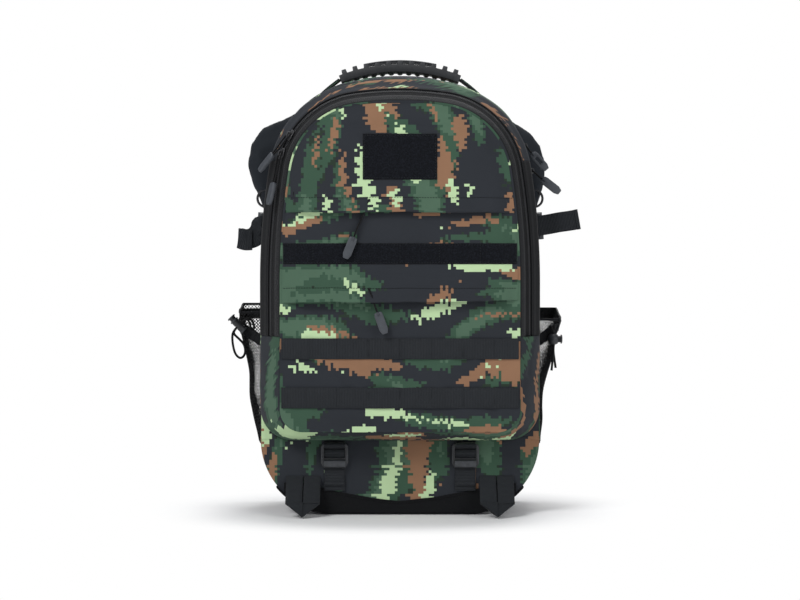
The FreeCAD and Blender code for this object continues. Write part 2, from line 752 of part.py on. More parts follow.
def arch_point(inset, height, side):
    """A point of the outline at a height, and its outward normal, on one side."""
    half, top = size(f"packHalfWidth - ({inset})"), size(f"packTop - ({inset})")
    lean = size(f"sideRadius - ({inset})")
    turn = size(f"shoulderRadius - ({inset})")
    crown = size(f"topRadius - ({inset})")
    bend = size("sideBend")
    centre, radius = shoulder_centre(half, top, lean, turn, crown, bend), turn
    if height < bend + (centre.y - bend) * lean / (lean - turn):
        centre, radius = Vector(half - lean, bend, 0), lean
    rise = max(height - centre.y, 0.0)
    out = Vector(math.sqrt(radius**2 - rise**2), 0, rise)
    point = Vector(centre.x + out.x, 0, height)
    out.normalize()
    return Vector(side * point.x, 0, point.z), Vector(side * out.x, 0, out.z)


def turned(point, along, outwards):
    """A placement whose X is along and whose Z is outwards."""
    outwards = Vector(outwards).normalize()
    across = outwards.cross(along).normalize()
    return Placement(point, Rotation(across.cross(outwards), across, outwards, "ZXY"))


def hanging(point, down, face):
    """A placement whose -Z is down and whose -Y is face."""
    down = Vector(down).normalize()
    broad = down.cross(face).normalize()
    return Placement(point, Rotation(broad, broad.cross(down), down * -1, "ZXY"))


def leaning(tilt, face, forward=0.0):
    """Downwards, tilted to the right seen from the front, and square to face."""
    angle = math.radians(tilt)
    down = Vector(math.sin(angle), -forward, -math.cos(angle))
    down = down - face * down.dot(face)
    return down.normalize()


def zip_sliders():
    """Two sliders on each long zip, and one on each straight pocket zip."""
    share = size(slant_share("frontZipLine"))
    front_inset = f"panelInset * {share} + tapeWall / 2"
    slant = math.atan2(size("panelInset"), size(f"{SLANT_START} - panelFace"))
    for label, height, tilt, forward, cord in (
        ("front_slider_low", 440.0, 8.0, size("lowForward"), "38"),
        ("front_slider_high", 462.0, 26.0, -size("highBack"), "32"),
    ):
        point, out = arch_point(front_inset, height, -1)
        point.y = size("frontZipLine")
        outwards = out * math.cos(slant) + Vector(0, -math.sin(slant), 0)
        down = Vector(out.z, 0, -out.x)  # along the outline, towards the base
        if down.z > 0:
            down = down * -1
        slider(label, turned(point, down, outwards))
        bail = point + outwards * size(BAIL_HEIGHT)
        lean = leaning(-tilt, outwards, forward)
        pull(label + "_pull", hanging(bail, lean, outwards), cord, False)
    for label, height, tilt, cord, frame in (
        ("main_slider_low", 422.0, 52.0, "17", False),
        ("main_slider_high", 452.0, 42.0, "13", True),
    ):
        point, out = arch_point("tapeWall / 2", height, 1)
        point.y = size("mainZipLine")
        down = Vector(out.z, 0, -out.x)
        slider(label, turned(point, down, out))
        bail = point + out * size(BAIL_HEIGHT)
        lean = leaning(tilt, Vector(0, -1, 0))
        pull(label + "_pull", hanging(bail, lean, Vector(0, -1, 0)), cord, frame, deep=True)
    front = size("panelFace - fabric - sliderSlot / 2 - sliderPlate - slack")
    for label, x, height, tilt, cord in (
        ("upper_pocket_slider", -38.0, UPPER_ZIP, -22.0, "46"),
        ("lower_pocket_slider", -36.0, LOWER_ZIP, 20.0, "27"),
    ):
        point = Vector(x, front, size(height))
        slider(label, turned(point, Vector(1, 0, 0), Vector(0, -1, 0)))
        bail = point - Vector(0, size(BAIL_TOP), 0)
        lean = leaning(tilt, Vector(0, -1, 0))
        face = Vector(0, -1, 0)
        stand = math.radians(size("pullProud"))
        flat = lean
        lean = flat * math.cos(stand) + face * math.sin(stand)
        face = face * math.cos(stand) - flat * math.sin(stand)
        pull(label + "_pull", hanging(bail, lean, face), cord, False, deep=True, rise="deepRise")


# ---------------------------------------------------------------- handle


def handle():
    """A webbing strap over the top with a ribbed rubber grip round its crown."""
    mid = size("handleRadius + gripRubber + webbingThick / 2")
    centre = size("handleCrown") - mid
    half_arc = size("gripArc") / 2
    grip = new_body("handle_grip")
    ring = sketch_on(grip, "XZ_Plane")
    arc_band(ring, "handleRadius", "handleRadius + 2 * gripRubber + webbingThick", half_arc)
    pad(grip, ring, "gripBroad", middle=True)
    slot = sketch_on(grip, "XZ_Plane")
    arc_band(
        slot,
        "handleRadius + gripRubber - slack",
        "handleRadius + gripRubber + webbingThick + slack",
        half_arc + 1,
    )
    pocket(grip, slot, "handleWebbing + 2 * slack", middle=True)
    # one tread block with a window, leaning outwards, repeated round the arc
    block = sketch_on(grip, "XZ_Plane")
    base = "handleRadius + 2 * gripRubber + webbingThick"
    polygon(
        block,
        [
            ("-treadLong / 2", f"{base} - gripRubber / 2"),
            ("treadLong / 2", f"{base} - gripRubber / 2"),
            ("treadLong * 0.4", f"{base} + treadHigh"),
            ("-treadLong * 0.4", f"{base} + treadHigh"),
        ],
    )
    tread = pad(grip, block, "gripBroad", middle=True)
    groove = sketch_on(grip, "YZ_Plane")
    window = "gripBroad * 0.28"
    rectangle(groove, f"-{window}", window, f"{base} + treadHigh * 0.2", f"{base} + treadHigh * 2")
    notch = pocket(grip, groove, "treadLong * 1.2", middle=True)
    for start in (-1, 1):
        row = grip.newObject("PartDesign::PolarPattern", "Treads")
        row.Originals = [tread, notch]
        row.Axis = (ring, ["N_Axis"])
        row.Angle = half_arc * 0.9
        row.Reversed = start > 0
        row.Occurrences = int((size("treadCount") + 1) / 2)
        grip.Tip = row
    grip.Placement = Placement(Vector(0, size("handleDepth"), centre), Rotation())
    keep(grip)

    # webbing: the arc in the grip, then straight down to a narrow foot on each side
    def around(degrees, radius):
        angle = math.radians(degrees)
        return Vector(radius * math.sin(angle), 0, radius * math.cos(angle) + centre)

    wall, wide = size("webbingThick"), size("handleWebbing")
    depth = Vector(0, size("handleDepth"), 0)
    seat, out = arch_point("0", size("handleSeat"), 1)
    foot = seat + out * size("slack + webbingThick + footGap")
    outer, inner = size("handleRadius + gripRubber") + wall, size("handleRadius + gripRubber")
    arcs = [Part.Arc(*(around(side * half_arc, radius) for side in (-1, 0, 1))) for radius in (outer, inner)]
    reach = foot.x + wall
    ends = [Vector(x, 0, foot.z) for x in (reach, foot.x, -foot.x, -reach)]
    corners = [around(half_arc, outer), *ends[:2], around(half_arc, inner)]
    others = [around(-half_arc, inner), *ends[2:], around(-half_arc, outer)]
    edges = [Part.LineSegment(a, b) for chain in (corners, others) for a, b in zip(chain, chain[1:])]
    wire = Part.Wire(Part.__sortEdges__([edge.toShape() for edge in arcs + edges]))
    band = Part.Face(wire).extrude(Vector(0, wide, 0))
    band.translate(Vector(0, -wide / 2, 0))
    narrow, rise = size("footWide") / 2, wide / 2
    points = [(-narrow, 0), (narrow, 0), (wide / 2, rise), (wide / 2, 3 * wide)]
    points += [(-wide / 2, 3 * wide), (-wide / 2, rise)]
    side_view = Part.makePolygon([Vector(-2 * foot.x, y, foot.z + z) for y, z in points + points[:1]])
    taper = Part.Face(side_view).extrude(Vector(4 * foot.x, 0, 0))
    strap = doc.addObject("Part::Feature", "handle_webbing")
    strap.Label = "handle_webbing"
    strap.Shape = band.common(taper)
    strap.Placement = Placement(depth, Rotation())
    keep(strap)

    tabs = []
    for side in (-1, 1):
        tab = doc.addObject("Part::Box", "handle_tab")
        tab.setExpression("Length", ref("tabLong"))
        tab.setExpression("Width", ref("tabWide"))
        tab.setExpression("Height", ref("webbingThick"))
        point, out = arch_point("0", size("handleSeat"), side)
        place = turned(point + out * size("slack") + depth, Vector(out.z, 0, -out.x), out)
        tab.Placement = place * Placement(Vector(-size("tabLong") / 2, -size("tabWide") / 2, 0), Rotation())
        tabs.append(tab)
    keep(fuse("handle_tabs", *tabs))


def arc_band(sketch, inner, outer, half_arc):
    """A closed band between two radii about the sketch's origin, over +Y."""
    low, high = math.radians(90 - half_arc), math.radians(90 + half_arc)
    rings = [Part.Circle(Vector(), Vector(0, 0, 1), size(r)) for r in (outer, inner)]
    far = sketch.addGeometry(Part.ArcOfCircle(rings[0], low, high), False)
    near = sketch.addGeometry(Part.ArcOfCircle(rings[1], low, high), False)
    ends = []
    for angle in (high, low):
        spots = [Vector(size(r) * math.cos(angle), size(r) * math.sin(angle), 0) for r in (outer, inner)]
        ends.append(sketch.addGeometry(Part.LineSegment(*spots), False))
    joints = ((far, 2, ends[0], 1), (ends[0], 2, near, 2), (near, 1, ends[1], 2), (ends[1], 1, far, 1))
    for joint in joints:
        sketch.addConstraint(Sketcher.Constraint("Coincident", *joint))
    for edge, radius in ((far, outer), (near, inner)):
        sketch.addConstraint(Sketcher.Constraint("Coincident", edge, 3, -1, 1))
        datum(sketch, "Radius", (edge,), None, radius)
    for end, angle in zip(ends, (high, low)):
        sketch.addConstraint(Sketcher.Constraint("PointOnObject", -1, 1, end))
    for end, x in zip(ends, (math.cos(high), math.cos(low))):
        datum(sketch, "DistanceX", (-1, 1), (end, 1), f"({outer}) * {x:.6f}")


# ---------------------------------------------------------------- buckles


def ladder_lock(label):
    """A frame with a round middle bar and a thumb lip.  X is across the webbing,
    the top edge is at Z = 0, and the webbing side is at Y = 0."""
    body = new_body(label)
    frame = sketch_on(body, "XZ_Plane")
    polygon(
        frame,
        [
            ("-lockWide / 2", "-lockBar"),
            ("-lockWide / 2", "-lockHigh * 0.8"),
            ("-lockWide * 0.4", "-lockHigh"),
            ("lockWide * 0.4", "-lockHigh"),
            ("lockWide / 2", "-lockHigh * 0.8"),
            ("lockWide / 2", "-lockBar"),
            ("lockWide * 0.44", "0"),
            ("-lockWide * 0.44", "0"),
        ],
    )
    pad(body, frame, "lockThick")
    lip = sketch_on(body, "YZ_Plane")
    polygon(
        lip,
        [
            ("-lockThick / 2", LOCK_SILL),
            ("-lockThick - lipProud", f"{LOCK_SILL} - lipProud"),
            ("-lockThick - lipProud", "-lockHigh + lipProud / 2"),
            ("-lockThick / 2", "-lockHigh"),
        ],
    )
    pad(body, lip, "lockWide * 0.8", middle=True)
    window = sketch_on(body, "XZ_Plane")
    reach = "webbingWide / 2 + slack"
    rectangle(window, f"-({reach})", reach, LOCK_SILL, "-lockBar")
    pocket(body, window, "4 * lockThick", middle=True)
    bar = sketch_on(body, "YZ_Plane")
    circle(bar, "-lockThick / 2", LOCK_PIVOT, "lockBar / 2")
    pad(body, bar, "lockWide * 0.9", middle=True)
    return body


LOCK_PIVOT = "-lockBar * 1.5 - lockSlot"  # height of the round bar under the top edge
LOCK_SILL = "-lockBar * 2 - lockSlot * 2"  # foot of the window
LOCK_WALL = "2 * webbingThick + 2 * slack"  # two layers of webbing pass behind the lock


def lock_webbing(label, run, tail, sewn):
    """What is threaded on a ladder lock, in the lock's own axes: a strap that
    comes up behind it, over the round bar and back down behind the lip, and a
    folded tape round its top bar."""
    reach = "(lockBar / 2 + slack)"
    middle = "-lockThick / 2"
    pivot = f"({LOCK_PIVOT})"
    rear = f"({LOCK_WALL})"
    strap = slab(
        label + "_strap",
        "YZ_Plane",
        "-webbingWide / 2",
        [
            (rear, f"{pivot} - ({run})"),
            (rear, f"{pivot} - lockBar / 2"),
            (f"{middle} + {reach} + webbingThick", f"{pivot} + {reach} + webbingThick"),
            (f"{middle} - {reach}", f"{pivot} + {reach} + webbingThick"),
            (f"{middle} - {reach} - webbingThick", f"{pivot} + {reach}"),
            (f"{middle} - {reach} - webbingThick", f"{pivot} - lockBar / 2"),
            ("slack", LOCK_SILL),
            ("slack", f"-lockHigh - ({tail})"),
            ("slack + webbingThick", f"-lockHigh - ({tail})"),
            ("slack + webbingThick", f"{LOCK_SILL} + webbingThick"),
            (f"{middle} - {reach}", f"{pivot} - lockBar / 4"),
            (f"{middle} - {reach}", f"{pivot} + lockBar / 2"),
            (f"{middle} - lockBar / 2", f"{pivot} + {reach}"),
            (f"{middle} + lockBar / 2", f"{pivot} + {reach}"),
            (f"{rear} - webbingThick", f"{pivot} - lockBar / 2 - webbingThick"),
            (f"{rear} - webbingThick", f"{pivot} - ({run})"),
        ],
        "webbingWide",
    )
    tape = new_body(label + "_tape")
    ring = sketch_on(tape, "YZ_Plane", "-webbingWide / 2")
    front = "-lockThick - slack"
    low, high = "-lockBar - loopWall / 2", "loopWall / 2"
    polygon(
        ring,
        [
            (f"{rear}", f"{low} - loopWall"),
            (f"{rear}", f"{high} + loopWall + ({sewn})"),
            (f"{rear} - loopWall", f"{high} + loopWall + ({sewn})"),
            (f"{rear} - loopWall", f"{high} + loopWall"),
            (f"{front} - loopWall", f"{high} + loopWall"),
            (f"{front} - loopWall", f"{low} - loopWall"),
        ],
    )
    rectangle(ring, front, f"{rear} - loopWall", low, high)
    pad(tape, ring, "webbingWide")
    return strap, tape


def copy_at(label, source, place):
    """The same solid again at another place."""
    feature = doc.addObject("Part::Feature", label)
    feature.Label = label
    doc.recompute()
    feature.Shape = source.Shape.copy()
    feature.Placement = place
    return feature


def lower_straps():
    """Compression straps from under the front compartment to the base."""
    master = ladder_lock("low_lock_pattern")
    run = f"lowLockTop + {LOCK_PIVOT} - bootTop - slack"
    threaded = lock_webbing("low", run, "lowTail", "0.1")
    straps = []
    for side, name in ((-1, "left"), (1, "right")):
        place = Placement(
            Vector(
                side * size("lowStrapX"),
                size(f"dividerFace - fabric - slack - ({LOCK_WALL})"),
                size("lowLockTop"),
            ),
            Rotation(),
        )
        keep(copy_at("low_lock_" + name, master, place))
        straps += [copy_at(piece.Name + "_" + name, piece, place) for piece in threaded]
    keep(fuse("lower_straps", *straps))
    return master


def strap_adjusters(master):
    """The ladder locks under the padded straps, with webbing down to the base."""
    threaded = lock_webbing("adjuster", "strapRun", "strapTail", "strapSewn")
    lean = f"({LOCK_WALL}) * cos(strapTilt) + (strapRun - ({LOCK_PIVOT})) * sin(strapTilt)"
    depth = size(f"backFace + strapRest + {lean}")
    locks, straps = [], []
    for side, name in ((-1, "left"), (1, "right")):
        place = Placement(
            Vector(side * size("strapLockX"), depth, size("strapLockTop")),
            Rotation(Vector(1, 0, 0), -size("strapTilt")) * Rotation(Vector(0, 0, 1), 180),
        )
        locks.append(copy_at("adjuster_" + name, master, place))
        straps += [copy_at(piece.Name + "_" + name, piece, place) for piece in threaded]
    keep(fuse("shoulder_locks", *locks), fuse("shoulder_webbing", *straps))


def socket(label):
    """A side release socket.  Its mouth is at Z = 0 and the webbing bar below."""
    body = new_body(label)
    outline = sketch_on(body, "XZ_Plane")
    foot = "-buckleLong - buckleSlot - buckleBar"
    polygon(
        outline,
        [
            ("-buckleWide / 2", "-buckleWall"),
            ("-buckleWide / 2", "-buckleLong * 0.2"),
            ("-buckleWide * 0.47", "-buckleLong * 0.5"),
            ("-buckleWide / 2", "-buckleLong * 0.8"),
            ("-buckleWide / 2", f"{foot} + buckleBar"),
            ("-buckleWide * 0.44", foot),
            ("buckleWide * 0.44", foot),
            ("buckleWide / 2", f"{foot} + buckleBar"),
            ("buckleWide / 2", "-buckleLong * 0.8"),
            ("buckleWide * 0.47", "-buckleLong * 0.5"),
            ("buckleWide / 2", "-buckleLong * 0.2"),
            ("buckleWide / 2", "-buckleWall"),
            ("buckleWide * 0.47", "0"),
            ("-buckleWide * 0.47", "0"),
        ],
    )
    pad(body, outline, "buckleThick", middle=True)
    # the webbing end is thinner than the housing
    for side in ("-1", "1"):
        step = sketch_on(body, "YZ_Plane")
        near, far = f"{side} * buckleThick * 0.28", f"{side} * buckleThick"
        polygon(
            step,
            [(near, foot + " - 1"), (far, foot + " - 1"), (far, "-buckleLong * 0.9"), (near, "-buckleLong")],
        )
        pocket(body, step, "2 * buckleWide", middle=True)
    cavity = sketch_on(body, "XY_Plane")
    half, thick = "buckleWide / 2 - buckleWall", "buckleThick / 2 - buckleWall"
    rectangle(cavity, f"-({half})", half, f"-({thick})", thick)
    pocket(body, cavity, "buckleLong - buckleWall")
    windows = sketch_on(body, "YZ_Plane")
    rectangle(windows, f"-({thick})", thick, "-buckleLong * 0.8", "-buckleLong * 0.4")
    pocket(body, windows, "2 * buckleWide", middle=True)
    slot = sketch_on(body, "XZ_Plane")
    reach = "webbingWide / 2 + slack"
    rectangle(slot, f"-({reach})", reach, f"{foot} + buckleBar", "-buckleLong")
    pocket(body, slot, "2 * buckleThick", middle=True)
    return body


PLUG_TOP = "plugBase + buckleSlot + buckleBar"


def plug(label):
    """The two-pronged plug of a socket, seated in it.  Its webbing bar is above."""
    body = new_body(label)
    base = sketch_on(body, "XZ_Plane")
    polygon(
        base,
        [
            ("-buckleWide / 2", "slack"),
            ("buckleWide / 2", "slack"),
            ("buckleWide / 2", f"{PLUG_TOP} - buckleBar"),
            ("buckleWide * 0.44", PLUG_TOP),
            ("-buckleWide * 0.44", PLUG_TOP),
            ("-buckleWide / 2", f"{PLUG_TOP} - buckleBar"),
        ],
    )
    thick = "buckleThick - 2 * buckleWall - 2 * buckleFit"
    pad(body, base, thick, middle=True)
    prongs = sketch_on(body, "XZ_Plane")
    outer = "buckleWide / 2 - buckleWall - buckleFit"
    for side in ("-1 *", "1 *"):
        points = [
            (outer, "1"),
            (outer, "-prongLong * 0.25"),
            (f"{outer} - prongWide / 4", "-prongLong * 0.45"),
            (outer, "-prongLong * 0.6"),
            (outer, "-prongLong * 0.8"),
            (f"{outer} - prongWide * 0.6", "-prongLong"),
            (f"{outer} - prongWide", "-prongLong"),
            (f"{outer} - prongWide", "1"),
        ]
        points = [(f"{side} ({x})", z) for x, z in points]
        polygon(prongs, points)
    rectangle(prongs, "-tongueWide / 2", "tongueWide / 2", "-prongLong * 0.9", "1")
    pad(body, prongs, thick, middle=True)
    slot = sketch_on(body, "XZ_Plane")
    reach = "webbingWide / 2 + slack"
    rectangle(slot, f"-({reach})", reach, "plugBase", f"{PLUG_TOP} - buckleBar")
    pocket(body, slot, "2 * buckleThick", middle=True)
    return body


def bar_loop(label, bar_low, bar_high, thick, away, end):
    """Webbing folded round a bar and sewn back on itself, then on to its end.
    away is 1 where the webbing leaves upwards and -1 where it leaves downwards."""
    body = new_body(label)
    sketch = sketch_on(body, "YZ_Plane", "-webbingWide / 2")
    inner = f"({thick}) / 2 + slack"
    outer = f"{inner} + webbingThick"
    near, far = (bar_low, bar_high) if away > 0 else (bar_high, bar_low)
    step = "1 *" if away > 0 else "-1 *"
    polygon(
        sketch,
        [
            (f"-({outer})", f"{near} - {step} (slack + webbingThick)"),
            (f"-({outer})", f"{far} + {step} (slack)"),
            ("-webbingThick / 2", f"{far} + {step} (slack + 3 * webbingThick)"),
            ("-webbingThick / 2", end),
            ("webbingThick / 2", end),
            ("webbingThick / 2", f"{far} + {step} (slack + 3 * webbingThick)"),
            (outer, f"{far} + {step} (slack)"),
            (outer, f"{near} - {step} (slack + webbingThick)"),
        ],
    )
    low, high = (
        (f"{near} - slack", f"{far} + slack") if away > 0 else (f"{far} - slack", f"{near} + slack")
    )
    rectangle(sketch, f"-({inner})", inner, low, high)
    pad(body, sketch, "webbingWide")
    return body


SOCKET_FOOT = "-buckleLong - buckleSlot - buckleBar"


def chest_strap(housing, tongue):
    """The chest strap: left half with the socket, right half with the plug."""
    place = Placement(
        Vector(0, size("chestDepth"), size("chestHeight")),
        Rotation(Vector(0, 1, 0), 90),
    )
    bar_thick = "buckleThick * 0.56"
    left = bar_loop("chest_left", SOCKET_FOOT, f"{SOCKET_FOOT} + buckleBar", bar_thick, -1, "-chestReach")
    right = bar_loop(
        "chest_right",
        f"{PLUG_TOP} - buckleBar",
        PLUG_TOP,
        "buckleThick - 2 * buckleWall - 2 * buckleFit",
        1,
        "chestReach",
    )
    keep(copy_at("chest_socket", housing, place), copy_at("chest_plug", tongue, place))
    keep(copy_at("chest_strap_left", left, place), copy_at("chest_strap_right", right, place))


def on_wall(side, height):
    """A placement on the side wall: X stays across the pack and Z goes up the wall."""
    point, out = arch_point("0", size(height), side)
    lean = math.degrees(math.asin(out.z))
    return Placement(point, Rotation(Vector(0, 1, 0), -side * lean))


def side_buckles(housing, tongue):
    """Buckles on the side walls, over webbing that is sewn along the wall."""
    sockets, webbing = [], []
    for side, name in ((-1, "left"), (1, "right")):
        here = on_wall(side, "sideStrapMid")
        off = side * size("slack + webbingThick + slack + buckleThick / 2")
        along = Placement(
            Vector(off, size("sideMouth"), 0),
            Rotation(Vector(0, 0, 1), Vector(1, 0, 0), Vector(0, 1, 0), "ZXY"),
        )
        sockets.append(copy_at("side_socket_" + name, housing, here * along))
        keep(copy_at("side_plug_" + name, tongue, here * along))
        for label, height in (("run", "sideStrapMid"), ("row", "sideRowMid")):
            strip = slab(
                f"side_{label}_{name}",
                "YZ_Plane",
                "slack" if side > 0 else "-slack - webbingThick",
                [
                    ("meshFront", "-webbingWide / 2"),
                    ("backFace - 2 * fabric", "-webbingWide / 2"),
                    ("backFace - 2 * fabric", "webbingWide / 2"),
                    ("meshFront", "webbingWide / 2"),
                ],
                "webbingThick",
            )
            strip.Placement = on_wall(side, height)
            webbing.append(strip)
        # the loose end goes round the socket's bar and stands out sideways
        bar = f"sideMouth + ({SOCKET_FOOT})"
        tail = new_body("side_tail_" + name)
        sketch = sketch_on(tail, "XY_Plane", "-webbingWide / 2")
        skin = f"{side} * (2 * slack + webbingThick)"
        middle = f"{side} * (2 * slack + webbingThick + buckleThick / 2)"
        inner = f"{middle} - {side} * (buckleThick * 0.28 + slack)"
        end = f"{middle} + {side} * sideTail{name.title()}"
        polygon(
            sketch,
            [
                (skin, f"{bar} + buckleBar + slack"),
                (skin, f"{bar} - slack - webbingThick"),
                (end, f"{bar} - slack - webbingThick"),
                (end, f"{bar} - slack"),
                (inner, f"{bar} - slack"),
                (inner, f"{bar} + buckleBar + slack"),
            ],
        )
        pad(tail, sketch, "webbingWide")
        tail.Placement = here
        webbing.append(tail)
    keep(fuse("side_sockets", *sockets), fuse("side_straps", *webbing))


# ---------------------------------------------------------------- back and straps


def block(label, left, right, low, high):
    """A pad with cut corners on the back panel."""
    cut = "padThick"
    return slab(
        label,
        "XZ_Plane",
        "-backFace - slack - padThick",
        [
            (f"{left} + {cut}", low),
            (f"{right} - {cut}", low),
            (right, f"{low} + {cut}"),
            (right, f"{high} - {cut}"),
            (f"{right} - {cut}", high),
            (f"{left} + {cut}", high),
            (left, f"{high} - {cut}"),
            (left, f"{low} + {cut}"),
        ],
        "padThick",
    )


def back_pads():
    keep(
        fuse(
            "back_pads",
            block("pad_left", "-padHalf", "-padGap / 2", "padLow", "padTop"),
            block("pad_right", "padGap / 2", "padHalf", "padLow", "padTop"),
            block("pad_lumbar", "-padHalf", "padHalf", "lumbarLow", "padLow - padGap"),
        )
    )


# Each padded strap goes up from the back panel, over and down: centre and the
# direction of its outer edge at each station, for the right-hand strap.
STRAP_SECTIONS = 24
STRAP_STATIONS = [
    ((64, 118, 422), (-1.00, 0.00, 0.00)),
    ((65, 122, 446), (-0.98, 0.03, 0.15)),
    ((76, 132, 470), (-0.78, 0.05, 0.58)),
    ((98, 146, 485), (-0.28, 0.05, 0.96)),
    ((125, 157, 480), (0.35, 0.00, 0.93)),
    ((147, 165, 463), (0.75, -0.05, 0.65)),
    ((158, 169, 438), (0.97, -0.08, 0.25)),
    ((154, 172, 405), (0.98, -0.10, -0.20)),
    ((143, 172, 365), (0.97, -0.08, -0.22)),
    ((130, 168, 310), (0.98, -0.04, -0.20)),
    ((120, 162, 258), (0.99, 0.00, -0.12)),
    ((116, 157, 226), (1.00, 0.00, -0.05)),
    ((116, 152, 206), (1.00, 0.00, 0.00)),
]


def smooth(points):
    """A smooth curve that reaches each point at its number."""
    curve = Part.BSplineCurve()
    curve.interpolate(Points=points, Parameters=[float(n) for n in range(len(points))])
    return curve


def shoulder_straps():
    wide, thick = size("strapWide") / 2, size("strapThick") / 2
    edge = ((-1, -0.5), (-0.92, -1), (0.92, -1), (1, -0.5), (1, 0.5), (0.92, 1), (-0.92, 1), (-1, 0.5))
    for side, name in ((-1, "left"), (1, "right")):
        sway = size("strapSway" + name.title())
        spots, widths = [], []
        for (x, y, z), across in STRAP_STATIONS:
            bulge = math.exp(-(((z - size("swayHeight")) / 40.0) ** 2))
            spots.append(Vector(side * (x + sway * bulge), y, z))
            widths.append(Vector(side * across[0], across[1], across[2]))
        line, turn = smooth(spots), smooth(widths)
        wires = []
        for number in range(STRAP_SECTIONS + 1):
            station = number / STRAP_SECTIONS * (len(spots) - 1)
            centre, along = line.value(station), line.tangent(station)[0]
            width = turn.value(station)
            width = (width - along * width.dot(along)).normalize()
            normal = along.cross(width)
            half = wide * min(1.0, 0.5 + (len(spots) - 1 - station) / 2)  # narrow at its foot
            corners = [centre + width * (x * half) + normal * (y * thick) for x, y in edge]
            wires.append(Part.makePolygon(corners + corners[:1]))
        strap = doc.addObject("Part::Feature", "shoulder_strap_" + name)
        strap.Label = "shoulder_strap_" + name
        shape = Part.makeLoft(wires, True, True)
        strap.Shape = shape if shape.Volume > 0 else shape.reversed()
        keep(strap)
    rings = []
    mid, wire = size("ringRadius"), size("ringWire")
    turns = [math.radians(45 * n + 22.5) for n in range(8)]
    section = [Vector(mid + wire * math.cos(a), 0, wire * math.sin(a)) for a in turns]
    around = Part.Face(Part.makePolygon(section + section[:1])).revolve(Vector(), Vector(0, 0, 1), 360)
    for side in (-1, 1):
        ring = doc.addObject("Part::Feature", "strap_ring")
        ring.Shape = around
        spot = Vector(side * size("ringX"), size("ringDepth"), size("ringZ"))
        ring.Placement = Placement(spot, Rotation(Vector(1, 0, 0), 90))
        rings.append(ring)
    keep(fuse("shoulder_rings", *rings))


# ---------------------------------------------------------------- side pockets


def mesh_pockets():
    """Baskets of net on the side walls, open above, with an elastic band."""
    for side, name in ((-1, "left"), (1, "right")):
        wall = f"{side} * (packHalfWidth + slack)"

        def skin(label, extra, front, rear, open_wall):
            body = new_body(label)
            sketch = sketch_on(body, "XZ_Plane", f"-({rear})")
            grow = f"{side} * ({extra})"
            inside = f"{wall} - {side} * ({open_wall})"
            polygon(
                sketch,
                [
                    (inside, f"meshBase - ({extra})"),
                    (f"{wall} + {side} * meshFoot + {grow}", f"meshBase - ({extra})"),
                    (f"{wall} + {side} * meshMouth + {grow}", "mouthRear"),
                    (inside, "mouthRear"),
                ],
            )
            pad(body, sketch, f"({rear}) - ({front})")
            return body

        def hollow(body, extra, front, rear):
            sketch = sketch_on(body, "XZ_Plane", f"-({rear})")
            grow = f"{side} * ({extra})"
            inside = f"{wall} - {side}"
            polygon(
                sketch,
                [
                    (inside, f"meshBase - ({extra})"),
                    (f"{wall} + {side} * meshFoot + {grow}", f"meshBase - ({extra})"),
                    (f"{wall} + {side} * meshMouth + {grow}", "mouthRear"),
                    (inside, "mouthRear"),
                ],
            )
            pocket(body, sketch, f"({rear}) - ({front})", back=True)

        def slanted(body, rise, below):
            sketch = sketch_on(body, "YZ_Plane")
            near, far = "meshFront - 2 * bandHigh", "meshRear + 2 * bandHigh"
            slope = "(mouthRear - mouthFront) / (meshRear - meshFront) * 2 * bandHigh"
            low = f"mouthFront - {slope} + {rise}"
            high = f"mouthRear + {slope} + {rise}"
            limit = BELOW if below else ABOVE
            polygon(sketch, [(near, low), (far, high), (far, limit), (near, limit)])
            pocket(body, sketch, "8 * packHalfWidth", middle=True)

        basket = skin("net_" + name, "0", "meshFront", "meshRear", "0")
        hollow(basket, "-meshWall", "meshFront + meshWall", "meshRear - meshWall")
        slanted(basket, "0", False)
        band = skin("band_" + name, "bandThick", "meshFront - bandThick", "meshRear + bandThick", "0")
        hollow(band, "0", "meshFront", "meshRear")
        slanted(band, "0", False)
        slanted(band, "-bandHigh", True)
        keep(fuse("mesh_pocket_" + name, basket, band))


# Routes of the elastic cords, in millimetres.  The left one is a loop through
# the barrel lock.  The right one has two ends, knotted together under the ball.
LEFT_CORD = [
    (-187.0, 24.0, 226.0),
    (-187.0, 17.0, 233.0),
    (-191.0, 16.2, 238.5),
    (-195.7, 16.2, 235.1),
    (-201.0, 16.2, 230.0),
    (-206.3, 16.2, 224.9),
    (-209.5, 16.2, 219.0),
    (-209.0, 16.6, 207.0),
    (-206.0, 17.4, 194.0),
    (-199.0, 18.0, 188.0),
    (-193.0, 18.8, 194.0),
    (-194.0, 19.8, 206.0),
    (-202.0, 19.8, 214.0),
    (-208.5, 19.8, 220.0),
    (-206.3, 19.8, 224.9),
    (-201.0, 19.8, 230.0),
    (-195.7, 19.8, 235.1),
    (-191.0, 20.2, 239.5),
    (-183.5, 21.0, 236.0),
    (-182.0, 24.0, 226.0),
]
RIGHT_CORDS = [
    [
        (188.0, 24.0, 229.0),
        (188.0, 17.2, 231.0),
        (189.5, 14.4, 226.0),
        (191.5, 14.4, 221.0),
        (191.5, 14.4, 210.0),
        (191.5, 14.6, 198.0),
        (190.2, 14.4, 186.0),
        (189.0, 13.7, 174.0),
    ],
    [
        (194.0, 24.0, 229.0),
        (194.0, 20.5, 231.0),
        (192.5, 18.0, 226.0),
        (191.5, 18.0, 221.0),
        (191.5, 18.0, 210.0),
        (191.5, 18.0, 198.0),
        (193.0, 18.6, 187.0),
        (194.5, 19.2, 177.0),
    ],
]
BARREL_PLACE = Vector(-201.0, 18.0, 230.0)
BALL_PLACE = Vector(191.5, 16.2, 213.0)


CORD_SIDES = 6
CORD_STEPS = 3  # sections for each point of a route


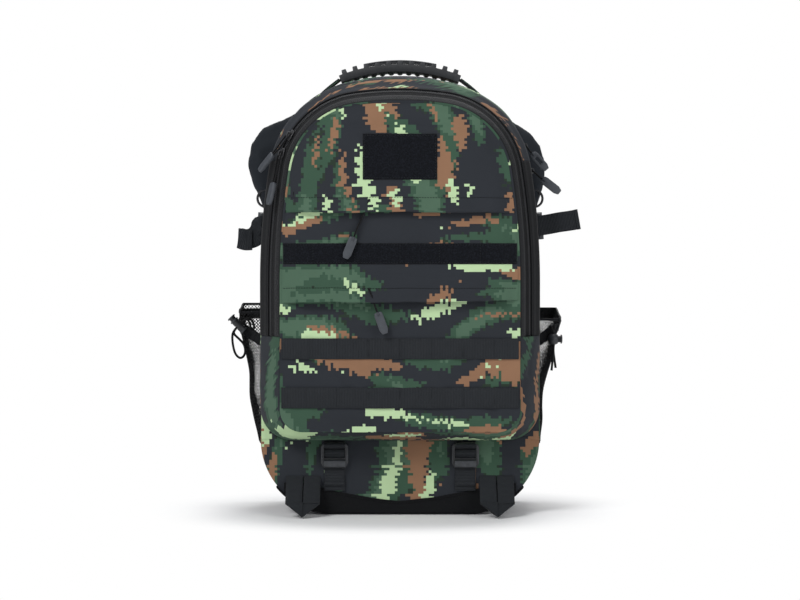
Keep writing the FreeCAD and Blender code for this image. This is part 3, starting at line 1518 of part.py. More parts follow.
def cord(label, route):
    """A round cord along a smooth curve that its points pull into shape."""
    poles = [Vector(*point) for point in route]
    spans = len(poles) - 2
    knots = [float(step) for step in range(spans + 1)]
    curve = Part.BSplineCurve()
    curve.buildFromPolesMultsKnots(poles, [3] + [1] * (spans - 1) + [3], knots, False, 2)
    radius, across, wires = size("cordThick") / 2, None, []
    for step in range(CORD_STEPS * spans + 1):
        station = step / CORD_STEPS
        centre, along = curve.value(station), curve.tangent(station)[0]
        if across is None:
            across = along.cross(Vector(0, 0.3, 1))
        across = (across - along * across.dot(along)).normalize()
        other = along.cross(across)
        turns = [2 * math.pi * n / CORD_SIDES for n in range(CORD_SIDES)]
        corners = [centre + across * (radius * math.cos(a)) + other * (radius * math.sin(a)) for a in turns]
        wires.append(Part.makePolygon(corners + corners[:1]))
    feature = doc.addObject("Part::Feature", label)
    feature.Label = label
    shape = Part.makeLoft(wires, True, True)
    feature.Shape = shape if shape.Volume > 0 else shape.reversed()
    return feature


def revolved(label, points):
    """A round body about Z from a half outline in X and Z."""
    body = new_body(label)
    sketch = sketch_on(body, "XZ_Plane")
    polygon(sketch, points)
    turn = body.newObject("PartDesign::Revolution", "Revolution")
    turn.Profile = sketch
    turn.ReferenceAxis = (sketch, ["V_Axis"])
    turn.Angle = 360.0
    return body


def cord_lock(label, profile, foot, top):
    """A lock about Z with a blind bore for its plunger and a cross hole along X."""
    body = revolved(label, profile)
    bore = sketch_on(body, "XY_Plane", top)
    circle(bore, "0", "0", "plungerRadius + runFit")
    pocket(body, bore, f"({top}) - ({foot})")
    cross_hole(body, "(cordThick / 2 + slack)", "0")
    return body


def cross_hole(body, reach, stretch):
    """A hole along X for two cords side by side in Y."""
    hole = sketch_on(body, "YZ_Plane")
    wide = f"cordPitch / 2 + {reach}"
    polygon(
        hole,
        [
            (f"-({wide})", f"-({reach}) * 0.5"),
            (f"-({wide}) + ({reach}) * 0.4", f"-({reach})"),
            (f"{wide} - ({reach}) * 0.4", f"-({reach})"),
            (wide, f"-({reach}) * 0.5"),
            (wide, f"{reach} * 0.5 + {stretch}"),
            (f"{wide} - ({reach}) * 0.4", f"{reach} + {stretch}"),
            (f"-({wide}) + ({reach}) * 0.4", f"{reach} + {stretch}"),
            (f"-({wide})", f"{reach} * 0.5 + {stretch}"),
        ],
    )
    pocket(body, hole, "8 * ballRadius", middle=True)


def plunger(label, foot, top, cap):
    """A plunger about Z with a cap above its lock and a long cross hole."""
    body = revolved(
        label,
        [
            ("0", foot),
            ("plungerRadius", foot),
            ("plungerRadius", top),
            (cap, f"{top} + 0"),
            (cap, f"{top} + flangeThick * 0.6"),
            (f"{cap} * 0.8", f"{top} + flangeThick"),
            ("0", f"{top} + flangeThick"),
        ],
    )
    cross_hole(body, "(cordThick / 2 + slack)", "plungerStroke")
    return body


def cord_locks():
    half = "barrelLong / 2"
    barrel = cord_lock(
        "cord_lock_left",
        [
            ("0", f"-{half}"),
            ("barrelRadius", f"-{half}"),
            ("barrelRadius", f"-{half} + flangeThick"),
            ("barrelRadius * 0.86", f"-{half} + flangeThick"),
            ("barrelRadius * 0.86", f"{half} - flangeThick"),
            ("barrelRadius", f"{half} - flangeThick"),
            ("barrelRadius", half),
            ("0", half),
        ],
        f"-{half} + flangeThick",
        half,
    )
    ball = cord_lock(
        "cord_lock_right",
        [
            ("0", "-ballRadius"),
            ("ballRadius * 0.5", "-ballRadius * 0.9"),
            ("ballRadius * 0.87", "-ballRadius * 0.5"),
            ("ballRadius", "0"),
            ("ballRadius * 0.87", "ballRadius * 0.5"),
            ("ballRadius * 0.7", "ballRadius * 0.75"),
            ("0", "ballRadius * 0.75"),
        ],
        "-ballRadius * 0.72",
        "ballRadius * 0.75",
    )
    press = "cordThick / 2 + slack"
    left = plunger(
        "cord_plunger_left",
        f"-({press}) - flangeThick / 2",
        f"{half} + plungerProud - flangeThick",
        "barrelRadius",
    )
    right = plunger(
        "cord_plunger_right",
        f"-({press}) - flangeThick / 4",
        "ballRadius * 0.75 + plungerProud - flangeThick",
        "ballRadius * 0.75",
    )
    slope = Rotation(Vector(-0.72, 0, -0.69), Vector(0, 1, 0), Vector(-0.69, 0, 0.72), "ZXY")
    tilt = Placement(BARREL_PLACE, slope)
    upright = Placement(BALL_PLACE, Rotation(Vector(0, 0, -1), Vector(0, 1, 0), Vector(1, 0, 0), "ZXY"))
    for place, pieces in ((tilt, (barrel, left)), (upright, (ball, right))):
        for piece in pieces:
            piece.Placement = place
            keep(piece)
    keep(cord("pocket_cord_left", LEFT_CORD))
    keep(fuse("pocket_cord_right", *[cord(f"cord_end_{n}", route) for n, route in enumerate(RIGHT_CORDS)]))


def base_loops():
    """Webbing folded to a point, its two legs side by side with a slit between.
    The loops are sewn over the base seam and splay forward to the floor."""
    loops = []
    drop = size("loopTop - 2 * slack")
    for side, name in ((-1, "left"), (1, "right")):
        body = new_body("base_loop_" + name)
        sketch = sketch_on(body, "XZ_Plane")
        shoulder = "loopWide / 2"
        polygon(
            sketch,
            [
                ("-loopWide / 2", shoulder),
                ("0", "0"),
                ("loopWide / 2", shoulder),
                ("loopWide / 2", "loopLong"),
                ("-loopWide / 2", "loopLong"),
            ],
        )
        pad(body, sketch, "2 * webbingThick")
        slit = sketch_on(body, "XZ_Plane")
        rectangle(slit, "-loopSlit / 2", "loopSlit / 2", shoulder, "loopLong * 0.9")
        pocket(body, slit, "8 * webbingThick", middle=True)
        lean = math.acos(drop / size("loopLong"))
        reach = math.sqrt(size("loopLong") ** 2 - drop**2)
        face = size("dividerFace - fabric - slack")
        body.Placement = Placement(
            Vector(side * size("loopX"), face - reach, size("loopTop") - drop),
            Rotation(Vector(1, 0, 0), -math.degrees(lean)),
        )
        loops.append(body)
    keep(fuse("base_loops", *loops))


back_and_sides()
lower_front()
main_flap()
front_compartment()
front_pockets()
zip_sliders()
handle()
lock_pattern = lower_straps()
base_loops()
back_pads()
shoulder_straps()
strap_adjusters(lock_pattern)
housing_pattern, tongue_pattern = socket("socket_pattern"), plug("plug_pattern")
chest_strap(housing_pattern, tongue_pattern)
side_buckles(housing_pattern, tongue_pattern)
mesh_pockets()
cord_locks()

doc.recompute()
failed = [o.Name for o in doc.Objects if "Invalid" in o.State or "Error" in o.State]
if failed:
    raise RuntimeError(f"failed objects: {failed}")
os.makedirs("parts", exist_ok=True)
for piece in made:
    shape = piece.Shape
    if shape.isNull() or not shape.isValid() or not shape.Solids:
        raise RuntimeError(f"{piece.Label} has no valid solid")
    shape.exportStep(f"parts/{piece.Label}.step")
    box = shape.BoundBox
    ends = [box.XMin, box.XMax, box.YMin, box.YMax, box.ZMin, box.ZMax]
    print(f"{piece.Label:24s} {len(shape.Solids)} X, Y, Z", *(f"{end:7.1f}" for end in ends))
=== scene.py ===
import json
import math

import bmesh
import bpy
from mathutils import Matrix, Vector, noise


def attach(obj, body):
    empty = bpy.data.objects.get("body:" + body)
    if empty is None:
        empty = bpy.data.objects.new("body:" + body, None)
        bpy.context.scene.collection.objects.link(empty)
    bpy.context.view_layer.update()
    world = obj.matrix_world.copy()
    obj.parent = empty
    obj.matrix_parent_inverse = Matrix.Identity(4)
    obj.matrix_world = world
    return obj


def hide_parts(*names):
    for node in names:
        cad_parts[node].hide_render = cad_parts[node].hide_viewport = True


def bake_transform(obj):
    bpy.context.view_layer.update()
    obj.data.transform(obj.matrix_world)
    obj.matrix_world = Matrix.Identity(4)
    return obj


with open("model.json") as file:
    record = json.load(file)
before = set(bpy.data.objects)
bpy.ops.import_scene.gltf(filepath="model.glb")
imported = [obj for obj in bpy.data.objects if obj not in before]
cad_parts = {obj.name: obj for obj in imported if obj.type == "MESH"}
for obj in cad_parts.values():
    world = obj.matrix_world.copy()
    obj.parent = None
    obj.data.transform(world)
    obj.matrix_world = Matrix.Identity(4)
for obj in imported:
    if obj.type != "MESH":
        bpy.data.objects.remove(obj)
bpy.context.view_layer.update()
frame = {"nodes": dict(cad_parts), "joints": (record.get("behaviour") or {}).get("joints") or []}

bpy.ops.object.select_all(action="DESELECT")
mm = 0.001
print("frame loaded:", len(frame["nodes"]), "nodes")


# colours and nodes

def tint(red, green, blue):
    # a colour as a paint chart gives it, 0 to 255, for a shader
    def straight(c):
        c = c / 255
        return c / 12.92 if c <= 0.04045 else ((c + 0.055) / 1.055) ** 2.4
    return (straight(red), straight(green), straight(blue), 1.0)


def addNode(tree, kind, inputs=None, **settings):
    node = tree.nodes.new(kind)
    for key, value in settings.items():
        setattr(node, key, value)
    for key, value in (inputs or {}).items():
        if isinstance(value, bpy.types.NodeSocket):
            tree.links.new(value, node.inputs[key])
        else:
            node.inputs[key].default_value = value
    return node


def sums(tree, operation, first, second=0.0, third=None):
    inputs = {0: first, 1: second}
    if third is not None:
        inputs[2] = third
    return addNode(tree, "ShaderNodeMath", inputs, operation=operation).outputs[0]


def newGroup(name, inputs, outputs):
    group = bpy.data.node_groups.new(name, "ShaderNodeTree")
    for title, kind, value in inputs:
        socket = group.interface.new_socket(title, in_out="INPUT", socket_type=kind)
        if value is not None:
            socket.default_value = value
    for title, kind in outputs:
        group.interface.new_socket(title, in_out="OUTPUT", socket_type=kind)
    start = group.nodes.new("NodeGroupInput")
    end = group.nodes.new("NodeGroupOutput")
    return group, start.outputs, end.inputs


def useGroup(tree, group, inputs):
    node = tree.nodes.new("ShaderNodeGroup")
    node.node_tree = group
    for key, value in inputs.items():
        if isinstance(value, bpy.types.NodeSocket):
            tree.links.new(value, node.inputs[key])
        else:
            node.inputs[key].default_value = value
    return node.outputs


# a camouflage of square cells: long streaks along U with stepped, speckled edges
camo = {
    "cell": 0.0032,
    "charcoal": tint(43, 46, 51),
    "olive": tint(42, 54, 44),
    "green": tint(57, 82, 66),
    "moss": tint(76, 101, 83),
    "tan": tint(138, 104, 80),
    "pale": tint(182, 208, 162),
}


def camoGroup():
    tree, start, end = newGroup(
        "camoPrint",
        [("Vector", "NodeSocketVector", None), ("Shift", "NodeSocketFloat", 0.0)],
        [("Color", "NodeSocketColor"), ("Pale", "NodeSocketFloat")],
    )
    cell = camo["cell"]
    snapped = addNode(
        tree, "ShaderNodeVectorMath", {0: start["Vector"], 1: (cell, cell, cell)}, operation="SNAP",
    )
    middle = addNode(
        tree, "ShaderNodeVectorMath", {0: snapped.outputs[0], 1: (cell / 2, cell / 2, 0)}, operation="ADD",
    )
    parts = addNode(tree, "ShaderNodeSeparateXYZ", {0: middle.outputs[0]})
    # each column of cells slips up or down by itself, which makes the comb-like edges
    column = addNode(tree, "ShaderNodeTexWhiteNoise", {"W": parts.outputs[0]}, noise_dimensions="1D")
    slip = sums(tree, "MULTIPLY_ADD", column.outputs["Value"], cell * 2.6, cell * -1.3)
    slow = addNode(tree, "ShaderNodeVectorMath", {0: middle.outputs[0], 3: 7.0}, operation="SCALE")
    bend = addNode(tree, "ShaderNodeTexNoise", {"Vector": slow.outputs[0], "Scale": 1.0, "Detail": 0.0})
    drift = sums(tree, "MULTIPLY_ADD", bend.outputs["Fac"], 0.09, -0.045)
    lifted = sums(tree, "ADD", sums(tree, "ADD", parts.outputs[1], slip), drift)
    cells = addNode(tree, "ShaderNodeCombineXYZ", {0: parts.outputs[0], 1: lifted})
    speck = addNode(tree, "ShaderNodeTexWhiteNoise", {"Vector": middle.outputs[0]}, noise_dimensions="3D")
    grain = sums(tree, "MULTIPLY_ADD", speck.outputs["Value"], 0.022, -0.011)

    def cloud(wide, tall, offset, detail=1.2):
        shift = addNode(tree, "ShaderNodeCombineXYZ", {0: start["Shift"], 1: start["Shift"], 2: offset})
        moved = addNode(
            tree, "ShaderNodeVectorMath", {0: cells.outputs[0], 1: shift.outputs[0]}, operation="ADD",
        )
        scaled = addNode(
            tree, "ShaderNodeVectorMath", {0: moved.outputs[0], 1: (wide, tall, 1.0)}, operation="MULTIPLY",
        )
        puff = addNode(
            tree, "ShaderNodeTexNoise",
            {"Vector": scaled.outputs[0], "Scale": 1.0, "Detail": detail, "Roughness": 0.45},
        )
        return sums(tree, "ADD", puff.outputs["Fac"], grain)

    def printed(under, key, value, limit):
        mask = sums(tree, "GREATER_THAN", value, limit)
        mixed = addNode(tree, "ShaderNodeMix", {0: mask, 6: under, 7: camo[key]}, data_type="RGBA")
        return mixed.outputs[2], mask

    leaves, bark, light = cloud(9, 34, 7.7), cloud(10, 40, 21.3), cloud(9, 40, 33.9)
    colour = camo["charcoal"]
    for key, value, limit in (
        ("olive", leaves, 0.535), ("green", leaves, 0.545), ("moss", leaves, 0.64), ("tan", bark, 0.63),
        ("pale", light, 0.65),
    ):
        colour, mask = printed(colour, key, value, limit)
    tree.links.new(colour, end["Color"])
    tree.links.new(mask, end["Pale"])
    return tree


def weaveGroup():
    # threads over and under each other, as a height
    tree, start, end = newGroup(
        "plainWeave",
        [("Vector", "NodeSocketVector", None), ("Threads", "NodeSocketFloat", 1400.0)],
        [("Height", "NodeSocketFloat")],
    )
    scaled = addNode(
        tree, "ShaderNodeVectorMath", {0: start["Vector"], 3: start["Threads"]}, operation="SCALE",
    )
    parts = addNode(tree, "ShaderNodeSeparateXYZ", {0: scaled.outputs[0]})
    warp = sums(tree, "SINE", sums(tree, "MULTIPLY", parts.outputs[0], 3.14159))
    weft = sums(tree, "SINE", sums(tree, "MULTIPLY", parts.outputs[1], 3.14159))
    height = sums(tree, "MULTIPLY_ADD", sums(tree, "MULTIPLY", warp, weft), 0.5, 0.5)
    tree.links.new(height, end["Height"])
    return tree


def ribGroup():
    # webbing: ribs across U, each rib broken into short picks along V; the Shade output is painted shade,
    # darkest in the grooves between ribs
    tree, start, end = newGroup(
        "webbingRibs",
        [("Vector", "NodeSocketVector", None), ("Pitch", "NodeSocketFloat", 0.0016)],
        [("Height", "NodeSocketFloat"), ("Shade", "NodeSocketFloat")],
    )
    parts = addNode(tree, "ShaderNodeSeparateXYZ", {0: start["Vector"]})
    along = sums(tree, "DIVIDE", parts.outputs[0], start["Pitch"])
    across = sums(tree, "DIVIDE", parts.outputs[1], start["Pitch"])
    ribs = sums(tree, "ABSOLUTE", sums(tree, "SINE", sums(tree, "MULTIPLY", along, 3.14159)))
    picks = sums(tree, "ABSOLUTE", sums(tree, "SINE", sums(tree, "MULTIPLY_ADD", across, 4.0, along)))
    height = sums(tree, "MULTIPLY_ADD", picks, 0.25, ribs)
    tree.links.new(height, end["Height"])
    tree.links.new(sums(tree, "MULTIPLY_ADD", ribs, 0.5, 0.5), end["Shade"])
    return tree


def dustGroup():
    # slow, faint change of shade and dust in the cloth
    tree, start, end = newGroup(
        "handledCloth",
        [
            ("Color", "NodeSocketColor", (0.5, 0.5, 0.5, 1)), ("Amount", "NodeSocketFloat", 0.25),
            ("Scale", "NodeSocketFloat", 14.0),
        ],
        [("Color", "NodeSocketColor"), ("Rough", "NodeSocketFloat")],
    )
    spot = addNode(tree, "ShaderNodeTexCoord")
    cloud = addNode(
        tree, "ShaderNodeTexNoise",
        {"Vector": spot.outputs["Object"], "Scale": start["Scale"], "Detail": 5.0, "Roughness": 0.6},
    )
    shade = sums(
        tree, "MULTIPLY_ADD", sums(tree, "SUBTRACT", cloud.outputs["Fac"], 0.5), start["Amount"], 1.0,
    )
    hue = addNode(tree, "ShaderNodeHueSaturation", {"Color": start["Color"], "Value": shade})
    tree.links.new(hue.outputs[0], end["Color"])
    tree.links.new(sums(tree, "MULTIPLY_ADD", cloud.outputs["Fac"], 0.18, 0.70), end["Rough"])
    return tree


def wearGroup():
    # paler, smoother edges where hands and straps have rubbed
    tree, start, end = newGroup(
        "rubbedEdges",
        [
            ("Base", "NodeSocketColor", (0.02, 0.02, 0.02, 1)),
            ("Worn", "NodeSocketColor", (0.1, 0.1, 0.1, 1)), ("Amount", "NodeSocketFloat", 0.5),
        ],
        [("Color", "NodeSocketColor"), ("Mask", "NodeSocketFloat"), ("Grain", "NodeSocketFloat")],
    )
    spot = addNode(tree, "ShaderNodeTexCoord")
    shape = addNode(tree, "ShaderNodeNewGeometry")
    edges = addNode(
        tree, "ShaderNodeMapRange", {0: shape.outputs["Pointiness"], 1: 0.505, 2: 0.56, 3: 0.0, 4: 1.0},
    )
    cloud = addNode(
        tree, "ShaderNodeTexNoise", {"Vector": spot.outputs["Object"], "Scale": 160.0, "Detail": 4.0},
    )
    mask = sums(
        tree, "MULTIPLY", sums(tree, "MULTIPLY", edges.outputs[0], cloud.outputs["Fac"]), start["Amount"],
    )
    mixed = addNode(tree, "ShaderNodeMix", {0: mask, 6: start["Base"], 7: start["Worn"]}, data_type="RGBA")
    fine = addNode(
        tree, "ShaderNodeTexNoise", {"Vector": spot.outputs["Object"], "Scale": 1800.0, "Detail": 2.0},
    )
    tree.links.new(mixed.outputs[2], end["Color"])
    tree.links.new(mask, end["Mask"])
    tree.links.new(fine.outputs["Fac"], end["Grain"])
    return tree


camoPrint, plainWeave, webbingRibs = camoGroup(), weaveGroup(), ribGroup()
handledCloth, rubbedEdges = dustGroup(), wearGroup()


def blankMaterial(name, **constants):
    material = bpy.data.materials.new(name)
    material.use_nodes = True
    tree = material.node_tree
    shader = tree.nodes["Principled BSDF"]
    for key, value in constants.items():
        shader.inputs[key.replace("_", " ")].default_value = value
    return material, tree, shader


def addBump(tree, shader, height, strength, distance):
    bump = addNode(tree, "ShaderNodeBump", {"Height": height, "Strength": strength, "Distance": distance})
    tree.links.new(bump.outputs[0], shader.inputs["Normal"])
    return bump


def clothBase(name, coordinates, rough, sheen, sheenRough, specular):
    material, tree, shader = blankMaterial(
        name, Roughness=rough, Sheen_Weight=sheen, Sheen_Roughness=sheenRough, Specular_IOR_Level=specular
    )
    spot = addNode(tree, "ShaderNodeTexCoord").outputs[coordinates]
    return material, tree, shader, spot


def handled(tree, shader, colour, amount, scale, rough=True):
    # the colour, changed slowly over the cloth
    used = useGroup(tree, handledCloth, {"Color": colour, "Amount": amount, "Scale": scale})
    tree.links.new(used["Color"], shader.inputs["Base Color"])
    if rough:
        tree.links.new(used["Rough"], shader.inputs["Roughness"])


def camoCloth(name, shift):
    material, tree, shader, spot = clothBase(name, "UV", 0.85, 0.03, 0.5, 0.14)
    printed = useGroup(tree, camoPrint, {"Vector": spot, "Shift": shift})
    handled(tree, shader, printed["Color"], 0.35, 16.0)
    threads = useGroup(tree, plainWeave, {"Vector": spot, "Threads": 1300.0})
    addBump(tree, shader, threads["Height"], 0.35, 0.0002)
    return material


def plainCloth(name, colour, threads=1300.0, sheen=0.04, strength=0.4):
    material, tree, shader, spot = clothBase(name, "UV", 0.85, sheen, 0.45, 0.14)
    handled(tree, shader, colour, 0.5, 18.0)
    weave = useGroup(tree, plainWeave, {"Vector": spot, "Threads": threads})
    addBump(tree, shader, weave["Height"], strength, 0.0003)
    return material


def paddedCloth(name, colour, scale, sheen):
    # for pieces with no UV map: a fine knit on object coordinates
    material, tree, shader, spot = clothBase(name, "Object", 0.85, sheen, 0.5, 0.14)
    handled(tree, shader, colour, 0.45, 15.0)
    cells = addNode(tree, "ShaderNodeTexVoronoi", {"Vector": spot, "Scale": scale})
    addBump(tree, shader, cells.outputs["Distance"], 0.35, 0.0003)
    return material


def webbingCloth(name, colour, pitch=0.0016, strength=0.7):
    material, tree, shader, spot = clothBase(name, "UV", 0.66, 0.05, 0.4, 0.2)
    ribs = useGroup(tree, webbingRibs, {"Vector": spot, "Pitch": pitch})
    # painted shade: the colour darkens to a fifth in the grooves between ribs, on binding, band and cord too
    deep = tuple(c * 0.2 for c in colour[:3]) + (1.0,)
    shaded = addNode(tree, "ShaderNodeMix", {0: ribs["Shade"], 6: deep, 7: colour}, data_type="RGBA")
    handled(tree, shader, shaded.outputs[2], 0.4, 30.0, rough=False)
    addBump(tree, shader, ribs["Height"], strength, 0.0004)
    return material


def cutWebbing(name, colour, ribsPerMetre=2000.0):
    # webbing on pieces without a UV map: ribs on object coordinates
    material, tree, shader, spot = clothBase(name, "Object", 0.66, 0.05, 0.4, 0.2)
    parts = addNode(tree, "ShaderNodeSeparateXYZ", {0: spot})
    slanting = sums(tree, "ADD", parts.outputs[0], parts.outputs[2])
    wave = sums(tree, "SINE", sums(tree, "MULTIPLY", slanting, ribsPerMetre))
    handled(tree, shader, colour, 0.4, 30.0, rough=False)
    addBump(tree, shader, sums(tree, "ABSOLUTE", wave), 0.5, 0.0004)
    return material


def pileCloth(name, colour):
    # fuzzy loop pile; its raised loops are painted lighter, partly painted highlight and partly a random fuzz
    # grain
    material, tree, shader = blankMaterial(
        name, Roughness=0.97, Sheen_Weight=0.06, Sheen_Roughness=0.6, Specular_IOR_Level=0.04,
    )
    spot = addNode(tree, "ShaderNodeTexCoord").outputs["UV"]
    loops = addNode(tree, "ShaderNodeTexVoronoi", {"Vector": spot, "Scale": 620.0})
    fuzz = addNode(
        tree, "ShaderNodeTexNoise", {"Vector": spot, "Scale": 420.0, "Detail": 4.0, "Roughness": 0.7},
    )
    # painted highlight on the raised loops, broken up by a random fuzz grain
    loopHighlight = tuple(c * 9 + 0.002 for c in colour[:3]) + (1.0,)
    amount = sums(tree, "MULTIPLY", loops.outputs["Distance"], fuzz.outputs["Fac"])
    mixed = addNode(tree, "ShaderNodeMix", {0: amount, 6: colour, 7: loopHighlight}, data_type="RGBA")
    tree.links.new(mixed.outputs[2], shader.inputs["Base Color"])
    addBump(tree, shader, loops.outputs["Distance"], 0.9, 0.0008)
    return material


def moulded(name, colour, worn, roughness, amount=0.6, coat=0.0, metallic=0.0, grain=0.12):
    material, tree, shader = blankMaterial(
        name, Roughness=roughness, Coat_Weight=coat, Coat_Roughness=0.25, Metallic=metallic,
    )
    used = useGroup(tree, rubbedEdges, {"Base": colour, "Worn": worn, "Amount": amount})
    tree.links.new(used["Color"], shader.inputs["Base Color"])
    rough = sums(tree, "MULTIPLY_ADD", used["Grain"], 0.18, roughness - 0.09)
    tree.links.new(rough, shader.inputs["Roughness"])
    addBump(tree, shader, used["Grain"], grain, 0.0003)
    return material


finishes = {
    "camoFront": camoCloth("camoFront", 0.31),
    "camoSide": camoCloth("camoSide", 2.41),
    "camoLow": camoCloth("camoLow", 2.93),
    "camoEdge": camoCloth("camoEdge", 4.11),
    "camoTab": camoCloth("camoTab", 5.37),
    "backCloth": plainCloth("backCloth", tint(26, 28, 31), 1000.0, 0.06),
    "webbingFlat": cutWebbing("cutWebbing", tint(24, 26, 29)),
    "lining": plainCloth("liningCloth", tint(30, 32, 35), 900.0, 0.05),
    "blackCloth": plainCloth("blackCloth", tint(17, 18, 20), 800.0, 0.05, 0.5),
    "zipTape": plainCloth("zipTapeCloth", tint(18, 19, 21), 1800.0, 0.05, 0.5),
    "binding": webbingCloth("bindingTape", tint(22, 23, 26), 0.0009, 0.4),
    "webbing": webbingCloth("blackWebbing", tint(38, 41, 45), 0.0019, 1.0),
    "pile": pileCloth("loopPile", tint(6, 7, 10)),
    "band": webbingCloth("elasticBand", tint(24, 25, 28), 0.0022, 0.9),
    "strap": paddedCloth("slateStrap", tint(34, 38, 43), 1500.0, 0.08),
    "pads": paddedCloth("spacerMesh", tint(24, 25, 28), 420.0, 0.1),
    "thread": plainCloth("blackThread", tint(12, 12, 14), 3000.0, 0.05),
    "paleThread": plainCloth("greyThread", tint(36, 39, 42), 3000.0, 0.05),
    "tackThread": plainCloth("tackThread", tint(26, 28, 31), 3000.0, 0.05),
    "net": moulded("netYarn", tint(16, 17, 19), tint(40, 42, 46), 0.75, 0.2),
    "coil": moulded("zipCoil", tint(20, 21, 23), tint(62, 64, 68), 0.45, 0.4),
    "rubber": moulded("handleRubber", tint(28, 30, 33), tint(74, 76, 80), 0.55, 0.8),
    "buckle": moulded("buckleAcetal", tint(22, 24, 27), tint(80, 84, 90), 0.45, 0.7),
    "enamel": moulded("ringEnamel", tint(14, 15, 17), tint(100, 100, 104), 0.2, 0.4, coat=0.6, metallic=0.3),
    "lacquer": moulded(
        "sliderLacquer", tint(22, 23, 25), tint(110, 110, 112), 0.35, 0.7, coat=0.3, metallic=0.4,
    ),
    "softGrip": moulded("pullGrip", tint(50, 54, 60), tint(96, 100, 106), 0.5, 0.6),
    "cord": webbingCloth("braidedCord", tint(18, 19, 21), 0.0012, 0.8),
    "sheetPlastic": moulded("frameSheet", tint(30, 30, 30), tint(60, 60, 60), 0.5, 0.3),
}
print("finishes:", len(finishes))


# the arched outline of the pack, in millimetres

outline = {"half": 171.0, "top": 530.0, "side": 906.0, "bend": 283.0, "shoulder": 120.0, "crown": 427.0}
folds = {"main": 91.0, "front": 219.5}
sideMid = (outline["half"] - outline["side"], outline["bend"])
crownMid = (0.0, outline["top"] - outline["crown"])
# inset, base height and corner radius of the pack's own wall
packWall = (0.0, 2.3, 90.0)
hands = ((-1, "left"), (1, "right"))


def shoulderMiddle():
    # centre of the arc that is tangent to the side and the crown
    a, b = outline["side"] - outline["shoulder"], outline["crown"] - outline["shoulder"]
    dx, dz = crownMid[0] - sideMid[0], crownMid[1] - sideMid[1]
    span = math.hypot(dx, dz)
    along = (a * a - b * b + span * span) / (2 * span)
    across = math.sqrt(a * a - along * along)
    ux, uz = dx / span, dz / span
    return (sideMid[0] + ux * along - uz * across, sideMid[1] + uz * along + ux * across)


shoulderMid = shoulderMiddle()
lowAngle = math.atan2(shoulderMid[1] - sideMid[1], shoulderMid[0] - sideMid[0])
highAngle = math.atan2(shoulderMid[1] - crownMid[1], shoulderMid[0] - crownMid[0])


def archLine(inset, base, corner, step=2.0):
    # points (x, z, normal x, normal z, length so far) from the middle of the base, round the right side
    half = outline["half"] - inset
    points, gone = [], 0.0

    def straight(a, b, normal):
        nonlocal gone
        length = math.dist(a, b)
        count = max(1, int(length / step))
        for n in range(count):
            t = n / count
            points.append((a[0] + (b[0] - a[0]) * t, a[1] + (b[1] - a[1]) * t, *normal, gone + length * t))
        gone += length

    def turn(mid, radius, start, end):
        nonlocal gone
        length = abs(end - start) * radius
        count = max(1, int(length / step))
        for n in range(count):
            angle = start + (end - start) * n / count
            out = (math.cos(angle), math.sin(angle))
            spot = (mid[0] + radius * out[0], mid[1] + radius * out[1])
            points.append((*spot, *out, gone + length * n / count))
        gone += length

    straight((0, base), (half - corner, base), (0, -1))
    turn((half - corner, base + corner), corner, -math.pi / 2, 0)
    straight((half, base + corner), (half, outline["bend"]), (1, 0))
    turn(sideMid, outline["side"] - inset, 0, lowAngle)
    turn(shoulderMid, outline["shoulder"] - inset, lowAngle, highAngle)
    turn(crownMid, outline["crown"] - inset, highAngle, math.pi / 2)
    points.append((0.0, outline["top"] - inset, 0.0, 1.0, gone))
    mirrored = [(-x, z, -nx, nz, 2 * gone - s) for x, z, nx, nz, s in points[1:-1]]
    return points + mirrored[::-1]


def above(line, low):
    # the part of an outline over a height, from the right foot over the top to the left foot
    run = [p for p in line if p[1] > low]
    first, last = run[0], run[-1]
    return [(first[0], low) + first[2:]] + run + [(last[0], low) + last[2:]]


def below(line, high):
    # the part under a height, from the left over the base to the right
    right = [p for p in line if p[1] < high and p[0] >= 0]
    left = [p for p in line if p[1] < high and p[0] < 0]
    total = line[-1][4] + 2.0
    left = [(x, z, nx, nz, s - total) for x, z, nx, nz, s in left]
    first, last = left[0], right[-1]
    return [(first[0], high) + first[2:]] + left + right + [(last[0], high) + last[2:]]


def spread(run, count):
    # the same run with evenly spaced points
    lengths = [0.0]
    for a, b in zip(run, run[1:]):
        lengths.append(lengths[-1] + math.dist(a[:2], b[:2]))
    made, at = [], 0
    for n in range(count):
        goal = lengths[-1] * n / (count - 1)
        while at < len(run) - 2 and lengths[at + 1] < goal:
            at += 1
        t = (goal - lengths[at]) / max(1e-9, lengths[at + 1] - lengths[at])
        t = min(1.0, max(0.0, t))
        made.append(tuple(a + (b - a) * t for a, b in zip(run[at], run[at + 1])))
    return made


def edgeGap(x, z, inset, base, corner):
    # distance from a point inside the outline to its edge
    ax, half = abs(x), outline["half"] - inset
    gap = half - ax
    if z > outline["bend"]:
        angle = math.atan2(z - shoulderMid[1], ax - shoulderMid[0])
        gap = outline["side"] - inset - math.hypot(ax - sideMid[0], z - sideMid[1])
        steep = ax / max(1.0, z - crownMid[1]) < 1 / math.tan(highAngle)
        inner = ax < shoulderMid[0] and z > shoulderMid[1] and angle > 0
        if angle > highAngle or (inner and steep):
            gap = min(gap, outline["crown"] - inset - math.hypot(ax, z - crownMid[1]))
        elif angle > lowAngle and z > shoulderMid[1]:
            gap = min(gap, outline["shoulder"] - inset - math.hypot(ax - shoulderMid[0], z - shoulderMid[1]))
    if ax > half - corner and z < base + corner:
        gap = min(gap, corner - math.hypot(ax - half + corner, z - base - corner))
    return max(0.0, min(gap, z - base))


def smoothStep(value):
    value = min(1.0, max(0.0, value))
    return value * value * (3 - 2 * value)


def ripple(x, y, z, size, seed):
    return noise.noise(Vector((x / size + seed, y / size - seed, z / size + 0.37 * seed)))


def crease(x, y, z, size, seed):
    # narrow folds, 0 to 1
    value = noise.noise(Vector((x / size + seed, y / size, z / size - seed)))
    return max(0.0, 1 - abs(value) * 5.0) ** 2


# meshes

def link(name, shape, finish):
    piece = bpy.data.objects.new(name, shape)
    bpy.context.collection.objects.link(piece)
    shape.materials.append(finishes[finish])
    return piece


